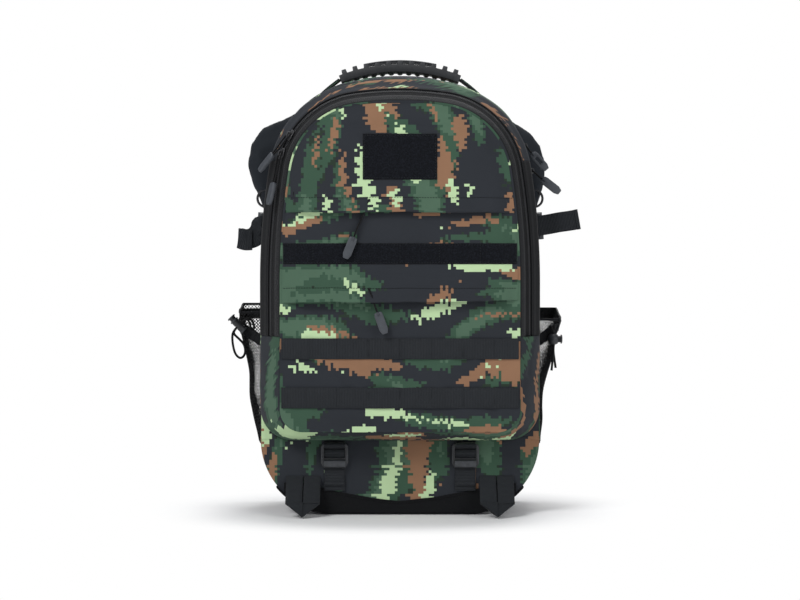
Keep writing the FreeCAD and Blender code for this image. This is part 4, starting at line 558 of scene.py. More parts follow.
def gridPiece(name, rows, marks, finish, wall=1.2, closed=False, core=(0, 40, 260)):
    # rows of points in millimetres and their marks (U, V) in millimetres, made a cloth of a given wall
    mesh = bpy.data.meshes.new(name)
    across = len(rows[0])
    points = [Vector(p) * mm for row in rows for p in row]
    faces = []
    for r in range(len(rows) - 1):
        for c in range(across - (0 if closed else 1)):
            d = (c + 1) % across
            faces.append((r * across + c, r * across + d, (r + 1) * across + d, (r + 1) * across + c))
    out = 0.0
    for face in faces[:: max(1, len(faces) // 200)]:
        a, b, c, d = (points[i] for i in face)
        out += (b - a).cross(c - a).dot((a + c) / 2 - Vector(core) * mm)
    if out < 0:
        faces = [face[::-1] for face in faces]
    mesh.from_pydata(points, [], faces)
    flat = [mark for row in marks for mark in row]
    layer = mesh.uv_layers.new(name="UVMap")
    for loop in mesh.loops:
        u, v = flat[loop.vertex_index]
        layer.data[loop.index].uv = (u * mm, v * mm)
    piece = link(name, mesh, finish)
    if wall:
        # printed cloth is plain black inside
        if finish.startswith("camo"):
            mesh.materials.append(finishes["lining"])
        thicken = piece.modifiers.new("wall", "SOLIDIFY")
        thicken.material_offset = len(mesh.materials) - 1
        thicken.thickness = wall * mm
        thicken.offset = -1
        thicken.use_even_offset = False
        applyAll(piece)
    smoothed(mesh)
    return piece


def smoothed(mesh, sharp=None):
    for polygon in mesh.polygons:
        polygon.use_smooth = True
    if sharp:
        mesh.set_sharp_from_angle(angle=math.radians(sharp))


def tubeFaces(first, rings, sides):
    # quads round a tube of rings, its two ends left open
    faces = []
    for ring in range(rings - 1):
        low = first + ring * sides
        for k in range(sides):
            m = (k + 1) % sides
            faces.append((low + k, low + m, low + sides + m, low + sides + k))
    return faces


def closedPiece(name, points, faces, finish):
    # a closed shape of its own points and faces, faces turned outwards
    mesh = bpy.data.meshes.new(name)
    mesh.from_pydata(points, [], faces)
    facing(mesh)
    return link(name, mesh, finish)


def facing(mesh):
    work = bmesh.new()
    work.from_mesh(mesh)
    bmesh.ops.recalc_face_normals(work, faces=work.faces)
    work.to_mesh(mesh)
    work.free()


def applyAll(piece):
    bpy.context.view_layer.objects.active = piece
    for modifier in list(piece.modifiers):
        bpy.ops.object.modifier_apply(modifier=modifier.name)


def pushed(rows, amount):
    # every point moved along the cloth's own normal by amount(x, y, z)
    tall, wide = len(rows), len(rows[0])
    made = []
    for r in range(tall):
        line = []
        for c in range(wide):
            up = Vector(rows[min(r + 1, tall - 1)][c]) - Vector(rows[max(r - 1, 0)][c])
            over = Vector(rows[r][min(c + 1, wide - 1)]) - Vector(rows[r][max(c - 1, 0)])
            here = Vector(rows[r][c])
            normal = up.cross(over)
            if normal.length < 1e-9:
                line.append(tuple(here))
                continue
            normal.normalize()
            if normal.dot(here - Vector((0, 40, 260))) < 0:
                normal = -normal
            line.append(tuple(here + normal * amount(*here)))
        made.append(line)
    return made


def settle(piece, body, slotName, *nodes):
    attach(piece, body)
    if nodes:
        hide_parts(*nodes)
    return piece


# gussets: strips round the arch

def slantAt(y):
    # inset, base and corner of the front compartment's wall at a depth
    share = (-37.0 - y) / 48.0
    return 27.0 * share, 91.0 + 14.0 * share, 40.0 - 13.0 * share


def stripRows(stations, count, low=None, high=None):
    rows, marks = [], []
    for y, inset, base, corner, proud in stations:
        line = archLine(inset, base, corner)
        run = above(line, low) if low is not None else below(line, high)
        points = spread(run, count)
        rows.append([(x + nx * proud, y, z + nz * proud) for x, z, nx, nz, s in points])
        marks.append([(s, y) for x, z, nx, nz, s in points])
    return rows, marks


def gusset(
    name, stations, count, finish, body, slotName, nodes=(), low=None, high=None, amount=None, wall=1.4,
    upright=False,
):
    rows, marks = stripRows(stations, count, low, high)
    if amount:
        rows = pushed(rows, amount)
    if upright:
        marks = [[(v, u) for u, v in row] for row in marks]
    piece = gridPiece(name, rows, marks, finish, wall)
    return settle(piece, body, slotName, *nodes)


def steps(first, last, count):
    return [first + (last - first) * n / (count - 1) for n in range(count)]


sides = {"puff": 3.2, "folds": 2.2}


def sideAmount(near, far):
    # stuffed between its two seams, with slow dents and a few folds that start at the seams
    def amount(x, y, z):
        share = (y - near) / (far - near)
        belly = math.sin(math.pi * min(1.0, max(0.0, share)))
        low = smoothStep((z - 12) / 50)
        dents = ripple(x, y, z, 70, 2.3) * 1.6 + ripple(x, y, z, 28, 5.1) * 0.6
        folds = crease(x * 0.6, y, z * 0.9, 46, 8.2) * sides["folds"]
        full = sides["puff"] * (0.3 + 0.7 * smoothStep((z - 430) / 70))
        return (full * belly + (dents * 0.7 - folds * 0.6) * min(1.0, belly * 2)) * low
    return amount


rear = [(y, *packWall, 0.0) for y in steps(22.2, 107.8, 18)]
gusset(
    "rearGussetCloth", rear, 420, "camoSide", "pack", "camo_fabric", ["rear_gusset"], low=91.0,
    amount=sideAmount(22, 108),
)
gusset(
    "rearGussetFoot", rear, 260, "camoLow", "pack", "camo_fabric", high=91.0, amount=sideAmount(22, 108),
    upright=True,
)


def sideRun(name, stations, side, low, high, finish, body, slotName, amount=None):
    # the stretch of a gusset up one side, between two heights
    rows, marks = [], []
    for y, inset, base, corner, proud in stations:
        run = [p for p in archLine(inset, base, corner, 1.0) if p[0] * side > 60 and low < p[1] < high]
        points = spread(run, 110)
        rows.append([(x + nx * proud, y, z + nz * proud) for x, z, nx, nz, s in points])
        marks.append([(s, y) for x, z, nx, nz, s in points])
    if amount:
        rows = pushed(rows, amount)
    return settle(gridPiece(name, rows, marks, finish, 1.4), body, slotName)


turnHeight = 432.0
middle = [(y, *packWall, 0.0) for y in steps(-34.8, -2.2, 9)]
slant = [(y, *slantAt(y), 1.1 if y < -50 else 0.4) for y in steps(-57.0, -37.2, 8)]
gusset(
    "middleGussetCloth", middle, 240, "camoSide", "main_flap", "camo_fabric", ["mid_gusset"],
    low=turnHeight, amount=sideAmount(-35, -2),
)
gusset("frontGussetTop", slant, 240, "camoSide", "main_flap", "camo_fabric", ["front_gusset"], low=turnHeight)
for side, word in hands:
    sideRun(
        word + "MiddleGussetSide", middle, side, folds["front"], turnHeight + 1, "blackCloth", "main_flap",
        "camo_fabric", sideAmount(-35, -2),
    )
    sideRun(
        word + "MiddleGussetFoot", middle, side, folds["main"], folds["front"] + 1, "camoSide", "main_flap",
        "camo_fabric", sideAmount(-35, -2),
    )
    sideRun(
        word + "FrontGussetSide", slant, side, folds["front"], turnHeight + 1, "blackCloth", "main_flap",
        "camo_fabric",
    )
slant = [(y, *slantAt(y), 0.0) for y in steps(-84.6, -37.2, 14)]


def bellows(x, y, z):
    # the foot of the front compartment, slack between its seams
    belly = math.sin(math.pi * min(1.0, max(0.0, (y + 85) / 48)))
    return belly * (2.4 + 1.8 * ripple(x, y, z, 45, 3.3) - 1.6 * crease(x, y, z, 40, 1.4))


gusset(
    "frontGussetFoot", slant, 260, "camoSide", "main_flap", "camo_fabric", high=folds["front"],
    amount=bellows,
)
print("gussets made")


# zips

coils = {
    "pitch": 2.1, "reach": 3.1, "tooth": 1.25, "high": 1.7,
    "rings": ((-0.9, 0.55, 0.5), (-0.3, 1.0, 1.0), (3.1 * 0.8, 0.8, 0.85), (3.1, 0.7, 0.3)),
    "profile": ((-1, -0.6), (1, -0.6), (1, 0.5), (0.45, 1), (-0.45, 1), (-1, 0.5)),
}


def zipHalf(name, body, node, depthOf, insetOf, low, side, edge):
    # one tape with its row of teeth; side 1 is the tape towards the back
    middleY, lean = depthOf(0.0), insetOf(1.0)[0] - insetOf(0.0)[0]
    stations = []
    for gap in steps(0.15, edge, 4):
        y = depthOf(side * gap)
        inset, base, corner = insetOf(side * gap)
        stations.append((y, inset + 0.9, base, corner, 0.0))
    rows, marks = stripRows(stations, 360, low=low)
    tape = gridPiece(name + "Tape", rows, marks, "zipTape", 0.7)
    settle(tape, body, "zip_tape", node)
    inset, base, corner = insetOf(0.0)
    run = above(archLine(inset + 0.4, base, corner, 1.0), low + 1.0)
    total = sum(math.dist(a[:2], b[:2]) for a, b in zip(run, run[1:]))
    count = int(total / coils["pitch"])
    places = spread(run, count * 2)[(0 if side > 0 else 1)::2]
    across = Vector((0, depthOf(1.0) - depthOf(0.0), 0))
    mesh, points, faces = bpy.data.meshes.new(name + "Coil"), [], []
    for x, z, nx, nz, s in places:
        tip, out = Vector((x, middleY, z)), Vector((nx, 0, nz))
        reach = (across - out * lean).normalized()
        out = (out - reach * out.dot(reach)).normalized()
        along = out.cross(reach).normalized()
        half, high = coils["tooth"] / 2, coils["high"] / 2
        first = len(points)
        for far, wide, tall in coils["rings"]:
            for a, b in coils["profile"]:
                point = tip + reach * (far * side) + along * (a * half * wide) + out * (b * high * tall)
                points.append(point * mm)
        quads = tubeFaces(first, 4, 6)
        faces += quads if side > 0 else [quad[::-1] for quad in quads]
        ends = [tuple(first + n for n in range(6)), tuple(first + 18 + n for n in range(6))]
        faces.append(ends[0][::-1] if side > 0 else ends[0])
        faces.append(ends[1] if side > 0 else ends[1][::-1])
    mesh.from_pydata(points, [], faces)
    coil = link(name + "Coil", mesh, "coil")
    smoothed(mesh)
    settle(coil, body, "zip_tape")


def mainDepth(gap):
    return 10.0 + gap


def mainInset(gap):
    return packWall


def frontDepth(gap):
    return -62.0 + gap * 0.872


def frontInset(gap):
    return slantAt(frontDepth(gap))


zipHalf("mainZipRear", "pack", "main_zip_rear_tape", mainDepth, mainInset, folds["main"], 1, 12.2)
zipHalf("mainZipFront", "main_flap", "main_zip_front_tape", mainDepth, mainInset, folds["main"], -1, 12.2)
zipHalf("frontZipRear", "main_flap", "front_zip_rear_tape", frontDepth, frontInset, folds["front"], 1, 13.0)
zipHalf(
    "frontZipFront", "front_flap", "front_zip_front_tape", frontDepth, frontInset, folds["front"], -1, 13.0,
)

# flat binding over the seams beside each zip
for name, body, low, ys, insetOf in (
    ("rimBinding", "front_flap", folds["front"], (-86.4, -73.5), slantAt),
    ("frontSeamBinding", "main_flap", folds["front"], (-58.6, -56.2), slantAt),
    ("mainSeamBindingFront", "main_flap", folds["main"], (-6.4, -1.8), lambda y: packWall),
    ("mainSeamBindingRear", "pack", folds["main"], (21.8, 26.4), lambda y: packWall),
):
    stations = [
        (y, *insetOf(y), 0.9 + 0.7 * math.sin(math.pi * n / 4))
        for n, y in enumerate(steps(ys[0], ys[1], 5))
    ]
    gusset(name, stations, 360, "binding", body, "zip_tape", low=low + 0.3, wall=1.3)

# the load lifts the middle of the top, most of all behind the main zip
crown = {"lift": 11.0, "half": 105.0, "front": -50.0, "full": 20.0, "fall": 12.0}


def lifted(name):
    for vert in bpy.data.objects[name].data.vertices:
        x, y, z = vert.co / mm
        share = smoothStep((crown["half"] - abs(x)) / 85) * smoothStep((z - 470) / 45)
        rise = min(1.0, max(0.0, (y - crown["front"]) / (crown["full"] - crown["front"])))
        vert.co.z += crown["lift"] * share * rise * (1 - smoothStep((y - crown["full"]) / crown["fall"])) * mm


for name in (
    "rearGussetCloth", "middleGussetCloth", "frontGussetTop", "frontSeamBinding", "mainZipRearTape",
    "mainZipRearCoil", "mainZipFrontTape", "mainZipFrontCoil", "mainSeamBindingFront", "mainSeamBindingRear",
):
    lifted(name)
print("zips made")


# the front: one cloth over both flaps, and the pockets on it

face = {"sheet": -87.2, "top": 503.2, "inset": 27.0, "base": 105.0, "corner": 27.0}
upperPocket = {"hem": 369.0, "top": 499.8, "proud": 8.6, "fall": 62.0}
middlePocket = {"hem": 262.0, "top": 371.5, "proud": 8.2, "fall": 55.0}


def archRows(inset, base, corner, low, high, tall, wide):
    # rows across the arch, level by level, their ends on the outline
    right = [p for p in archLine(inset, base, corner, 0.5) if p[0] > 0.8 and low <= p[1] <= high]
    if low > base:
        right = [(right[0][0], low) + right[0][2:]] + right
    else:
        right = [p for p in right if p[0] >= outline["half"] - inset - corner - 0.3 or p[1] > base + corner]
    if high < outline["top"] - inset - 1:
        right.append((right[-1][0], high) + right[-1][2:])
    ends = spread(right, tall)
    rows = []
    for x, z, *rest in ends:
        rows.append([(x * math.sin(math.pi / 2 * t), z) for t in steps(-1, 1, wide)])
    return rows


def frontCloth(x, z):
    # depth of the cloth under the pockets, loose below and tight in its binding
    gap = edgeGap(x, z, face["inset"], face["base"], face["corner"])
    tight = smoothStep(gap / 26)
    low = 1 - smoothStep((z - 200) / 40)
    soft = ripple(x, 0, z, 90, 4.2) * 1.2 + ripple(x, 0, z, 34, 9.1) * 0.5
    drawn = crease(x * 0.8 + z * 0.5, 0, z * 0.8 - x * 0.5, 70, 6.6) * 2.4
    return face["sheet"] - tight * (1.6 + (soft * 1.3 + drawn) * (0.35 + 0.65 * low))


def pocketCloth(pocket, seed):
    def depth(x, z):
        gap = edgeGap(x, z, face["inset"] + 3, face["base"], face["corner"])
        tight = smoothStep(gap / 20)
        down = max(0.0, 1 - (z - pocket["hem"]) / pocket["fall"])
        stand = pocket["proud"] * down ** 2.2 * smoothStep(gap / 30)
        soft = ripple(x, 0, z, 75, seed) * 1.3 + ripple(x, 0, z, 26, seed + 3) * 0.45
        pinched = crease(x * 0.35, 0, z * 1.4, 52, seed + 1) * 1.1
        return face["sheet"] - 0.8 - tight * (5.2 + soft * 0.7 - pinched * 0.8) - stand
    return depth


upperDepth, middleDepth = pocketCloth(upperPocket, 3.7), pocketCloth(middlePocket, 7.9)


def slack(x):
    # the hem's slow wave along its length
    return 1.6 * noise.noise(Vector((x / 60, 1.7, 0))) + 0.7 * noise.noise(Vector((x / 22, 5.1, 0)))


def archCloth(name, rows, depth, finish, wall, swap=False, drop=None):
    made, marks = [], []
    for r, row in enumerate(rows):
        line = []
        for x, z in row:
            low = z + (drop(x) * (1 - r / (len(rows) - 1)) ** 4 if drop else 0)
            line.append((x, depth(x, z), low))
        made.append(line)
        marks.append([(z, x) if swap else (x, z) for x, z in row])
    return gridPiece(name, made, marks, finish, wall)


sheetRows = archRows(face["inset"] - 0.4, face["base"], face["corner"], face["base"], face["top"], 150, 110)
frontSheet = archCloth("frontPanelCloth", sheetRows, frontCloth, "camoFront", 1.4)
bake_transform(frontSheet)
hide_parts("front_panel_upper", "front_panel_lower")

upperRows = archRows(
    face["inset"] + 2.2, face["base"], face["corner"], upperPocket["hem"], upperPocket["top"], 70, 110,
)
upperCloth = archCloth("upperPocketCloth", upperRows, upperDepth, "camoFront", 1.3, swap=True, drop=slack)
settle(upperCloth, "front_flap", "camo_fabric", "upper_pocket")
middleRows = archRows(
    face["inset"] + 2.2, face["base"], face["corner"], middlePocket["hem"], middlePocket["top"], 60, 110,
)


def middleDrop(x):
    return slack(x + 90) + 0.012 * x


middleCloth = archCloth("middlePocketCloth", middleRows, middleDepth, "camoFront", 1.3, drop=middleDrop)
settle(middleCloth, "front_flap", "camo_fabric", "middle_pocket")
print("front cloth made")


# ribbons of webbing

def ribbon(name, path, across, wide, wall, finish, soft=0.0, seed=1.0):
    # path in millimetres, across one direction or one for each point
    spots = [Vector(p) for p in path]
    count = len(spots)
    many = isinstance(across[0], (list, tuple, Vector))
    directions = [Vector(a) for a in across] if many else [Vector(across)] * count
    profile = [
        (-1, -0.4), (-0.95, -1), (-0.5, -1.06), (0, -1.08), (0.5, -1.06), (0.95, -1), (1, -0.4), (1, 0.4),
        (0.95, 1), (0.5, 1.06), (0, 1.08), (-0.5, 1.06), (-0.95, 1), (-1, 0.4),
    ]
    points, marks, gone = [], [], 0.0
    for n, spot in enumerate(spots):
        before, after = spots[max(n - 1, 0)], spots[min(n + 1, count - 1)]
        along = (after - before).normalized()
        side = directions[n] - along * directions[n].dot(along)
        side.normalize()
        normal = along.cross(side)
        if n:
            gone += (spot - spots[n - 1]).length
        for a, b in profile:
            bend = soft * noise.noise(Vector((gone / 25, a * 1.5, seed)))
            points.append((spot + side * (a * wide / 2) + normal * (b * wall / 2 + bend)) * mm)
            marks.append((gone * mm, (a * wide / 2 + (3.0 * wide if b > 0 else 0)) * mm))
    ring, faces = len(profile), []
    for n in range(count - 1):
        for k in range(ring):
            m = (k + 1) % ring
            faces.append((n * ring + k, (n + 1) * ring + k, (n + 1) * ring + m, n * ring + m))
    faces.append(tuple(range(ring)))
    faces.append(tuple(range((count - 1) * ring, count * ring))[::-1])
    mesh = bpy.data.meshes.new(name)
    mesh.from_pydata(points, [], faces)
    layer = mesh.uv_layers.new(name="UVMap")
    for loop in mesh.loops:
        layer.data[loop.index].uv = marks[loop.vertex_index]
    facing(mesh)
    piece = link(name, mesh, finish)
    smoothed(mesh, 50)
    return piece


def curveThrough(points, count):
    # an even, smooth path through a few given points
    spots = [Vector(p) for p in points]
    padded = [spots[0] * 2 - spots[1]] + spots + [spots[-1] * 2 - spots[-2]]
    dense = []
    for a, b, c, d in zip(padded, padded[1:], padded[2:], padded[3:]):
        for n in range(24):
            t = n / 24
            square, cube = 2 * a - 5 * b + 4 * c - d, 3 * b - a - 3 * c + d
            dense.append(0.5 * ((2 * b) + (c - a) * t + square * t * t + cube * t ** 3))
    dense.append(spots[-1])
    lengths = [0.0]
    for a, b in zip(dense, dense[1:]):
        lengths.append(lengths[-1] + (b - a).length)
    made, at = [], 0
    for n in range(count):
        goal = lengths[-1] * n / (count - 1)
        while at < len(dense) - 2 and lengths[at + 1] < goal:
            at += 1
        t = (goal - lengths[at]) / max(1e-9, lengths[at + 1] - lengths[at])
        made.append(dense[at].lerp(dense[at + 1], min(1.0, t)))
    return made


# stitches

stitch = {"long": 2.3, "pitch": 3.3, "wide": 0.55, "high": 0.45}


def stitches(name, lines, finish="thread"):
    # each line is a list of (point, outward normal) in millimetres
    points, faces = [], []
    for line in lines:
        spots = [Vector(p) for p, n in line]
        ups = [Vector(n) for p, n in line]
        lengths = [0.0]
        for a, b in zip(spots, spots[1:]):
            lengths.append(lengths[-1] + (b - a).length)
        at, goal = 0, stitch["pitch"] / 2
        while goal < lengths[-1]:
            while at < len(spots) - 2 and lengths[at + 1] < goal:
                at += 1
            t = (goal - lengths[at]) / max(1e-9, lengths[at + 1] - lengths[at])
            spot, up = spots[at].lerp(spots[at + 1], t), ups[at].lerp(ups[at + 1], t).normalized()
            along = (spots[at + 1] - spots[at]).normalized()
            side = up.cross(along).normalized()
            first = len(points)
            for far, size in ((-0.5, 0.35), (-0.32, 1.0), (0.32, 1.0), (0.5, 0.35)):
                for a, b in ((-1, -0.3), (0, 1), (1, -0.3)):
                    wide, high = a * size * stitch["wide"] / 2, b * size * stitch["high"]
                    point = spot + along * (far * stitch["long"]) + side * wide + up * high
                    points.append(point * mm)
            faces += tubeFaces(first, 4, 3)
            faces += [(first + 2, first + 1, first), (first + 9, first + 10, first + 11)]
            goal += stitch["pitch"]
    return closedPiece(name, points, faces, finish)


def onCloth(depth, places, lift=0.35):
    # a line of stitches on a front cloth, from (x, z) places
    line = []
    for x, z in places:
        dx = (depth(x + 0.5, z) - depth(x - 0.5, z))
        dz = (depth(x, z + 0.5) - depth(x, z - 0.5))
        normal = Vector((dx, -1, dz)).normalized()
        line.append((Vector((x, depth(x, z), z)) + normal * lift, normal))
    return line


def halfAt(z, inset):
    return max(p[0] for p in archLine(inset, face["base"], face["corner"], 2.0) if abs(p[1] - z) < 3.5)


hemSeams = []
for pocket, depth, rise in ((upperPocket, upperDepth, 17.4), (middlePocket, middleDepth, 16.2)):
    z = pocket["hem"] + rise
    half = halfAt(z, face["inset"] + 3.5)
    fade = (1 - rise / 110) ** 4
    seam = onCloth(depth, [(x, z) for x in steps(-half, half, 120)])
    start = 0 if depth is upperDepth else 90
    hemSeams.append([(p + Vector((0, 0, slack(p.x + start) * fade)), n) for p, n in seam])
settle(stitches("pocketHemStitches", hemSeams), "front_flap", "camo_fabric")


# fuzzy name panel and strip

patch = {"half": 44.5, "low": 408.0, "high": 463.0, "wall": 1.7}
loopStrip = {"low": 307.0, "high": 332.0, "wall": 1.7}


def fuzzyPiece(name, depth, xs, zs, wall):
    rows, marks = [], []
    tall, wide = len(zs), len(xs)
    for r, z in enumerate(zs):
        line = []
        for c, x in enumerate(xs):
            edge = min(r, tall - 1 - r, c, wide - 1 - c)
            thick = wall * (0.35, 0.8, 1.0)[min(edge, 2)]
            fuzz = 0.25 * noise.noise(Vector((x / 1.9, z / 1.9, 2.2))) if edge > 1 else 0
            line.append((x, depth(x, z) - thick - fuzz, z))
        rows.append(line)
        marks.append([(x, z) for x in xs])
    return gridPiece(name, rows, marks, "pile", 1.4)


def inset3(first, last, count):
    # even steps, with two close ones at each end for a rounded edge
    span = 1 if last > first else -1
    within = steps(first + 1.6 * span, last - 1.6 * span, count - 4)
    return [first, first + 0.5 * span] + within + [last - 0.5 * span, last]


namePanel = fuzzyPiece(
    "namePanel", upperDepth, inset3(-patch["half"], patch["half"], 70),
    inset3(patch["low"], patch["high"], 46), patch["wall"],
)
settle(namePanel, "front_flap", "loop_pile", "loop_panels")
stripHalf = halfAt(320, face["inset"] + 3.0)
fuzzyStrip = fuzzyPiece(
    "loopStrip", middleDepth, inset3(-stripHalf, stripHalf, 170),
    inset3(loopStrip["low"], loopStrip["high"], 24), loopStrip["wall"],
)
settle(fuzzyStrip, "front_flap", "loop_pile")


def raised(depth, lift):
    return lambda x, z: depth(x, z) - lift


panelSeams = []
over = raised(upperDepth, patch["wall"])
x, low, high = patch["half"] - 2.2, patch["low"] + 2.2, patch["high"] - 2.2
for a, b in (((-x, low), (x, low)), ((x, low), (x, high)), ((x, high), (-x, high)), ((-x, high), (-x, low))):
    panelSeams.append(
        onCloth(over, [(a[0] + (b[0] - a[0]) * t, a[1] + (b[1] - a[1]) * t) for t in steps(0, 1, 30)])
    )
over = raised(middleDepth, loopStrip["wall"])
for z in (loopStrip["low"] + 2.0, loopStrip["high"] - 2.0):
    panelSeams.append(onCloth(over, [(x, z) for x in steps(-stripHalf + 1, stripHalf - 1, 90)]))
for x in (-104, -54, 0, 47, 96):
    panelSeams.append(onCloth(over, [(x, z) for z in steps(loopStrip["low"] + 1, loopStrip["high"] - 1, 8)]))
settle(stitches("fuzzyPanelStitches", panelSeams, "paleThread"), "front_flap", "loop_pile")
print("pockets and panels made")


# webbing rows on the lower panel

def frontRow(name, low, seed):
    # one band sewn down at intervals, standing off a little between the tacks
    half = halfAt(low + 12, face["inset"] + 1.5)
    tacks = [-half + 3, -113, -76, -38, 0, 38, 76, 113, half - 3]
    path = []
    for x in steps(-half, half, 240):
        near = min(abs(x - t) for t in tacks)
        lift = 1.2 + 0.5 * smoothStep(near / 12) * (0.8 + 0.3 * noise.noise(Vector((x / 30, seed, 0))))
        path.append((x, frontCloth(x, low + 12.5) - lift, low + 12.5))
    band = ribbon(name, path, (0, 0, 1), 25.0, 1.5, "webbing", 0.5, seed)
    settle(band, "main_flap", "webbing", "webbing_rows")
    lines = []
    for t in tacks[1:-1]:
        heights = steps(low + 1.5, low + 23.5, 12)
        lines.append([(Vector((t, frontCloth(t, z) - 2.0, z)), Vector((0, -1, 0))) for z in heights])
    settle(stitches(name + "Tacks", lines, "tackThread"), "main_flap", "webbing")


frontRow("upperWebbingRow", 193.0, 1.3)
frontRow("lowerWebbingRow", 134.0, 4.4)


# straight pocket zips behind the hems

def straightZip(name, z, side, reach=128.0):
    rows = [[(x, -89.9, z + side * gap) for x in steps(-reach, reach, 60)] for gap in (0.2, 5.3, 12.0)]
    marks = [[(p[0], p[2]) for p in row] for row in rows]
    settle(gridPiece(name + "Tape", rows, marks, "zipTape", 0.9), "front_flap", "zip_tape", "pocket_zips")
    points, faces = [], []
    for x in steps(-reach + 1, reach - 1, int(2 * reach / coils["pitch"])):
        first = len(points)
        shift = coils["pitch"] / 2 if side < 0 else 0
        for far, wide, tall in ((-0.8, 0.6, 0.5), (0.0, 1.0, 1.0), (coils["reach"], 0.7, 0.6)):
            for a, b in ((-1, -0.6), (1, -0.6), (0.6, 1), (-0.6, 1)):
                along, out = a * wide * coils["tooth"] / 2, b * tall * coils["high"] / 2
                points.append(Vector((x + shift + along, -90.3 - out, z + side * far)) * mm)
        faces += tubeFaces(first, 3, 4)
        faces += [(first + 3, first + 2, first + 1, first), (first + 8, first + 9, first + 10, first + 11)]
    settle(closedPiece(name + "Coil", points, faces, "coil"), "front_flap", "zip_tape")


for name, pocket in (("upperPocketZip", upperPocket), ("middlePocketZip", middlePocket)):
    for side, word in ((1, "Over"), (-1, "Under")):
        straightZip(name + word, pocket["hem"] + 12.5, side)
print("front finished")


# the lower front and the base

def footCloth(x, z):
    # the stuffed lower front between the seam and the base fabric
    gap = edgeGap(x, z, *packWall)
    belly = math.sin(math.pi * min(1.0, max(0.0, (z - 2) / 100))) ** 0.8
    soft = ripple(x, 0, z, 60, 5.5) * 2.0 + ripple(x, 0, z, 24, 2.9) * 0.7
    pulled = crease(x * 1.3, 0, z * 0.5, 55, 3.1) * 1.8
    return -37.2 - smoothStep(gap / 24) * (2.6 * belly + (soft - pulled) * 0.7 * belly)


def baseSeam(x):
    # height of the edge where the base fabric starts, lowest in the middle
    return 17.5 + 21.0 * min(1.0, abs(x) / 118) ** 1.5 + 1.2 * noise.noise(Vector((x / 30, 4.4, 0)))


footRows = archRows(0.4, 2.3, 90.0, 2.3, 96.0, 60, 130)
footSheet = archCloth("lowerFrontCloth", footRows, footCloth, "camoLow", 1.5, swap=True)
settle(footSheet, "pack", "camo_fabric", "lower_front_panel")


def baseBoot():
    # heavy fabric over the foot: a front apron, the round underside and its edges
    rows, marks = [], []
    ys = [-39.4, -39.0, -37.0] + steps(-32, 102, 16) + [107.6, 109.4]
    for n, y in enumerate(ys):
        out = 0.2 if n in (0, len(ys) - 1) else 1.6
        line = below(archLine(-out, 2.3 - out, 90.0, 2.0), 34.0)
        points = spread(line, 180)
        rows.append(
            [
                (x, y, max(0.15, z + 0.5 * ripple(x, y, z, 30, 8.8) * min(1, abs(z) / 8)))
                for x, z, nx, nz, s in points
            ]
        )
        marks.append([(s, y) for x, z, nx, nz, s in points])
    boot = gridPiece("baseBootCloth", rows, marks, "blackCloth", 1.3)
    settle(boot, "pack", "black_fabric", "base_boot")
    rows, marks = [], []
    for t in steps(0, 1, 18):
        row, mark = [], []
        for x in steps(-142, 142, 150):
            foot = 2.4 if abs(x) < 81 else 2.3 + 90 - math.sqrt(max(0.0, 90.8 ** 2 - (abs(x) - 81) ** 2))
            top = max(baseSeam(x), foot + 0.2)
            z = foot + (top - foot) * t
            row.append((x, min(footCloth(x, z), -37.2) - 1.3 + 0.4 * t, z))
            mark.append((x, z))
        rows.append(row)
        marks.append(mark)
    apron = gridPiece("baseBootApron", rows, marks, "blackCloth", 1.1)
    settle(apron, "pack", "black_fabric")
    seam = [
        (Vector((x, footCloth(x, baseSeam(x)) - 1.6, baseSeam(x) - 2.6)), Vector((0, -1, 0)))
        for x in steps(-118, 118, 120)
    ]
    settle(stitches("baseSeamStitches", [seam]), "pack", "black_fabric")


baseBoot()


def packWebbing(name, path, across, wide=25.0, wall=1.6, soft=0.0, seed=1.0, nodes=()):
    return settle(ribbon(name, path, across, wide, wall, "webbing", soft, seed), "pack", "webbing", *nodes)


# straps of the lower front, threaded through their ladder locks

lowStrap = {"x": 80.0, "wide": 25.0}


def lowerStrap(side, word):
    x, wide = side * lowStrap["x"], lowStrap["wide"]
    wave = [noise.noise(Vector((n * 0.7, side * 3.3, 0))) * 0.8 for n in range(8)]
    tail = curveThrough([
        (x, -39.2, 80.4), (x, -41.2, 80.7), (x, -44.6, 80.2), (x, -46.4, 78.0), (x, -46.2, 75.4),
        (x, -43.8, 71.8), (x, -41.0, 67.4), (x, -41.4 + wave[0], 58.0), (x, -42.2 + wave[1], 48.0),
        (x, -42.6 + wave[2], 38.4),
    ], 60)
    packWebbing(word + "LowerTail", tail, (1, 0, 0), wide - 0.4, 1.5, 0.25, side, ["lower_straps"])
    run = [(x, -39.3, 80.2), (x, -38.6, 70), (x, footCloth(x, 55) - 1.2, 52), (x, footCloth(x, 36) - 1.6, 30)]
    packWebbing(word + "LowerRun", curveThrough(run, 30), (1, 0, 0), wide, 1.5, 0.2, side + 5)
    fold = curveThrough([
        (x, -38.2, 92.0), (x, -39.4, 89.0), (x, -43.0, 88.7), (x, -47.0, 87.4), (x, -47.4, 84.8),
        (x, -46.0, 82.6), (x, -41.0, 82.3),
    ], 36)
    packWebbing(word + "LockLoop", fold, (1, 0, 0), wide, 1.2, 0.0, side + 9)
    # the tail's end is folded over and sewn
    upper, lower = (x, -42.6 + wave[2] - 0.5, 39.5), (x, -42.6 + wave[2] - 0.4, 36.6)
    hem = [upper, (Vector(upper) + Vector(lower)) / 2, lower]
    packWebbing(word + "LowerTailEnd", hem, (1, 0, 0), wide + 0.2, 2.6, 0.0, side)


for side, word in hands:
    lowerStrap(side, word)


loopEnd = {
    "x": 118.0, "top": (-38.6, 46.8), "long": 64.0, "drop": 45.4, "wide": 20.4, "apart": 10.8,
    "tips": (((-21.0, 43.0), (21.0, 43.0), (0.0, 63.6), 0.5), ((-21.0, 42.6), (0.6, 42.6), (0.0, 63.4), 2.0)),
}


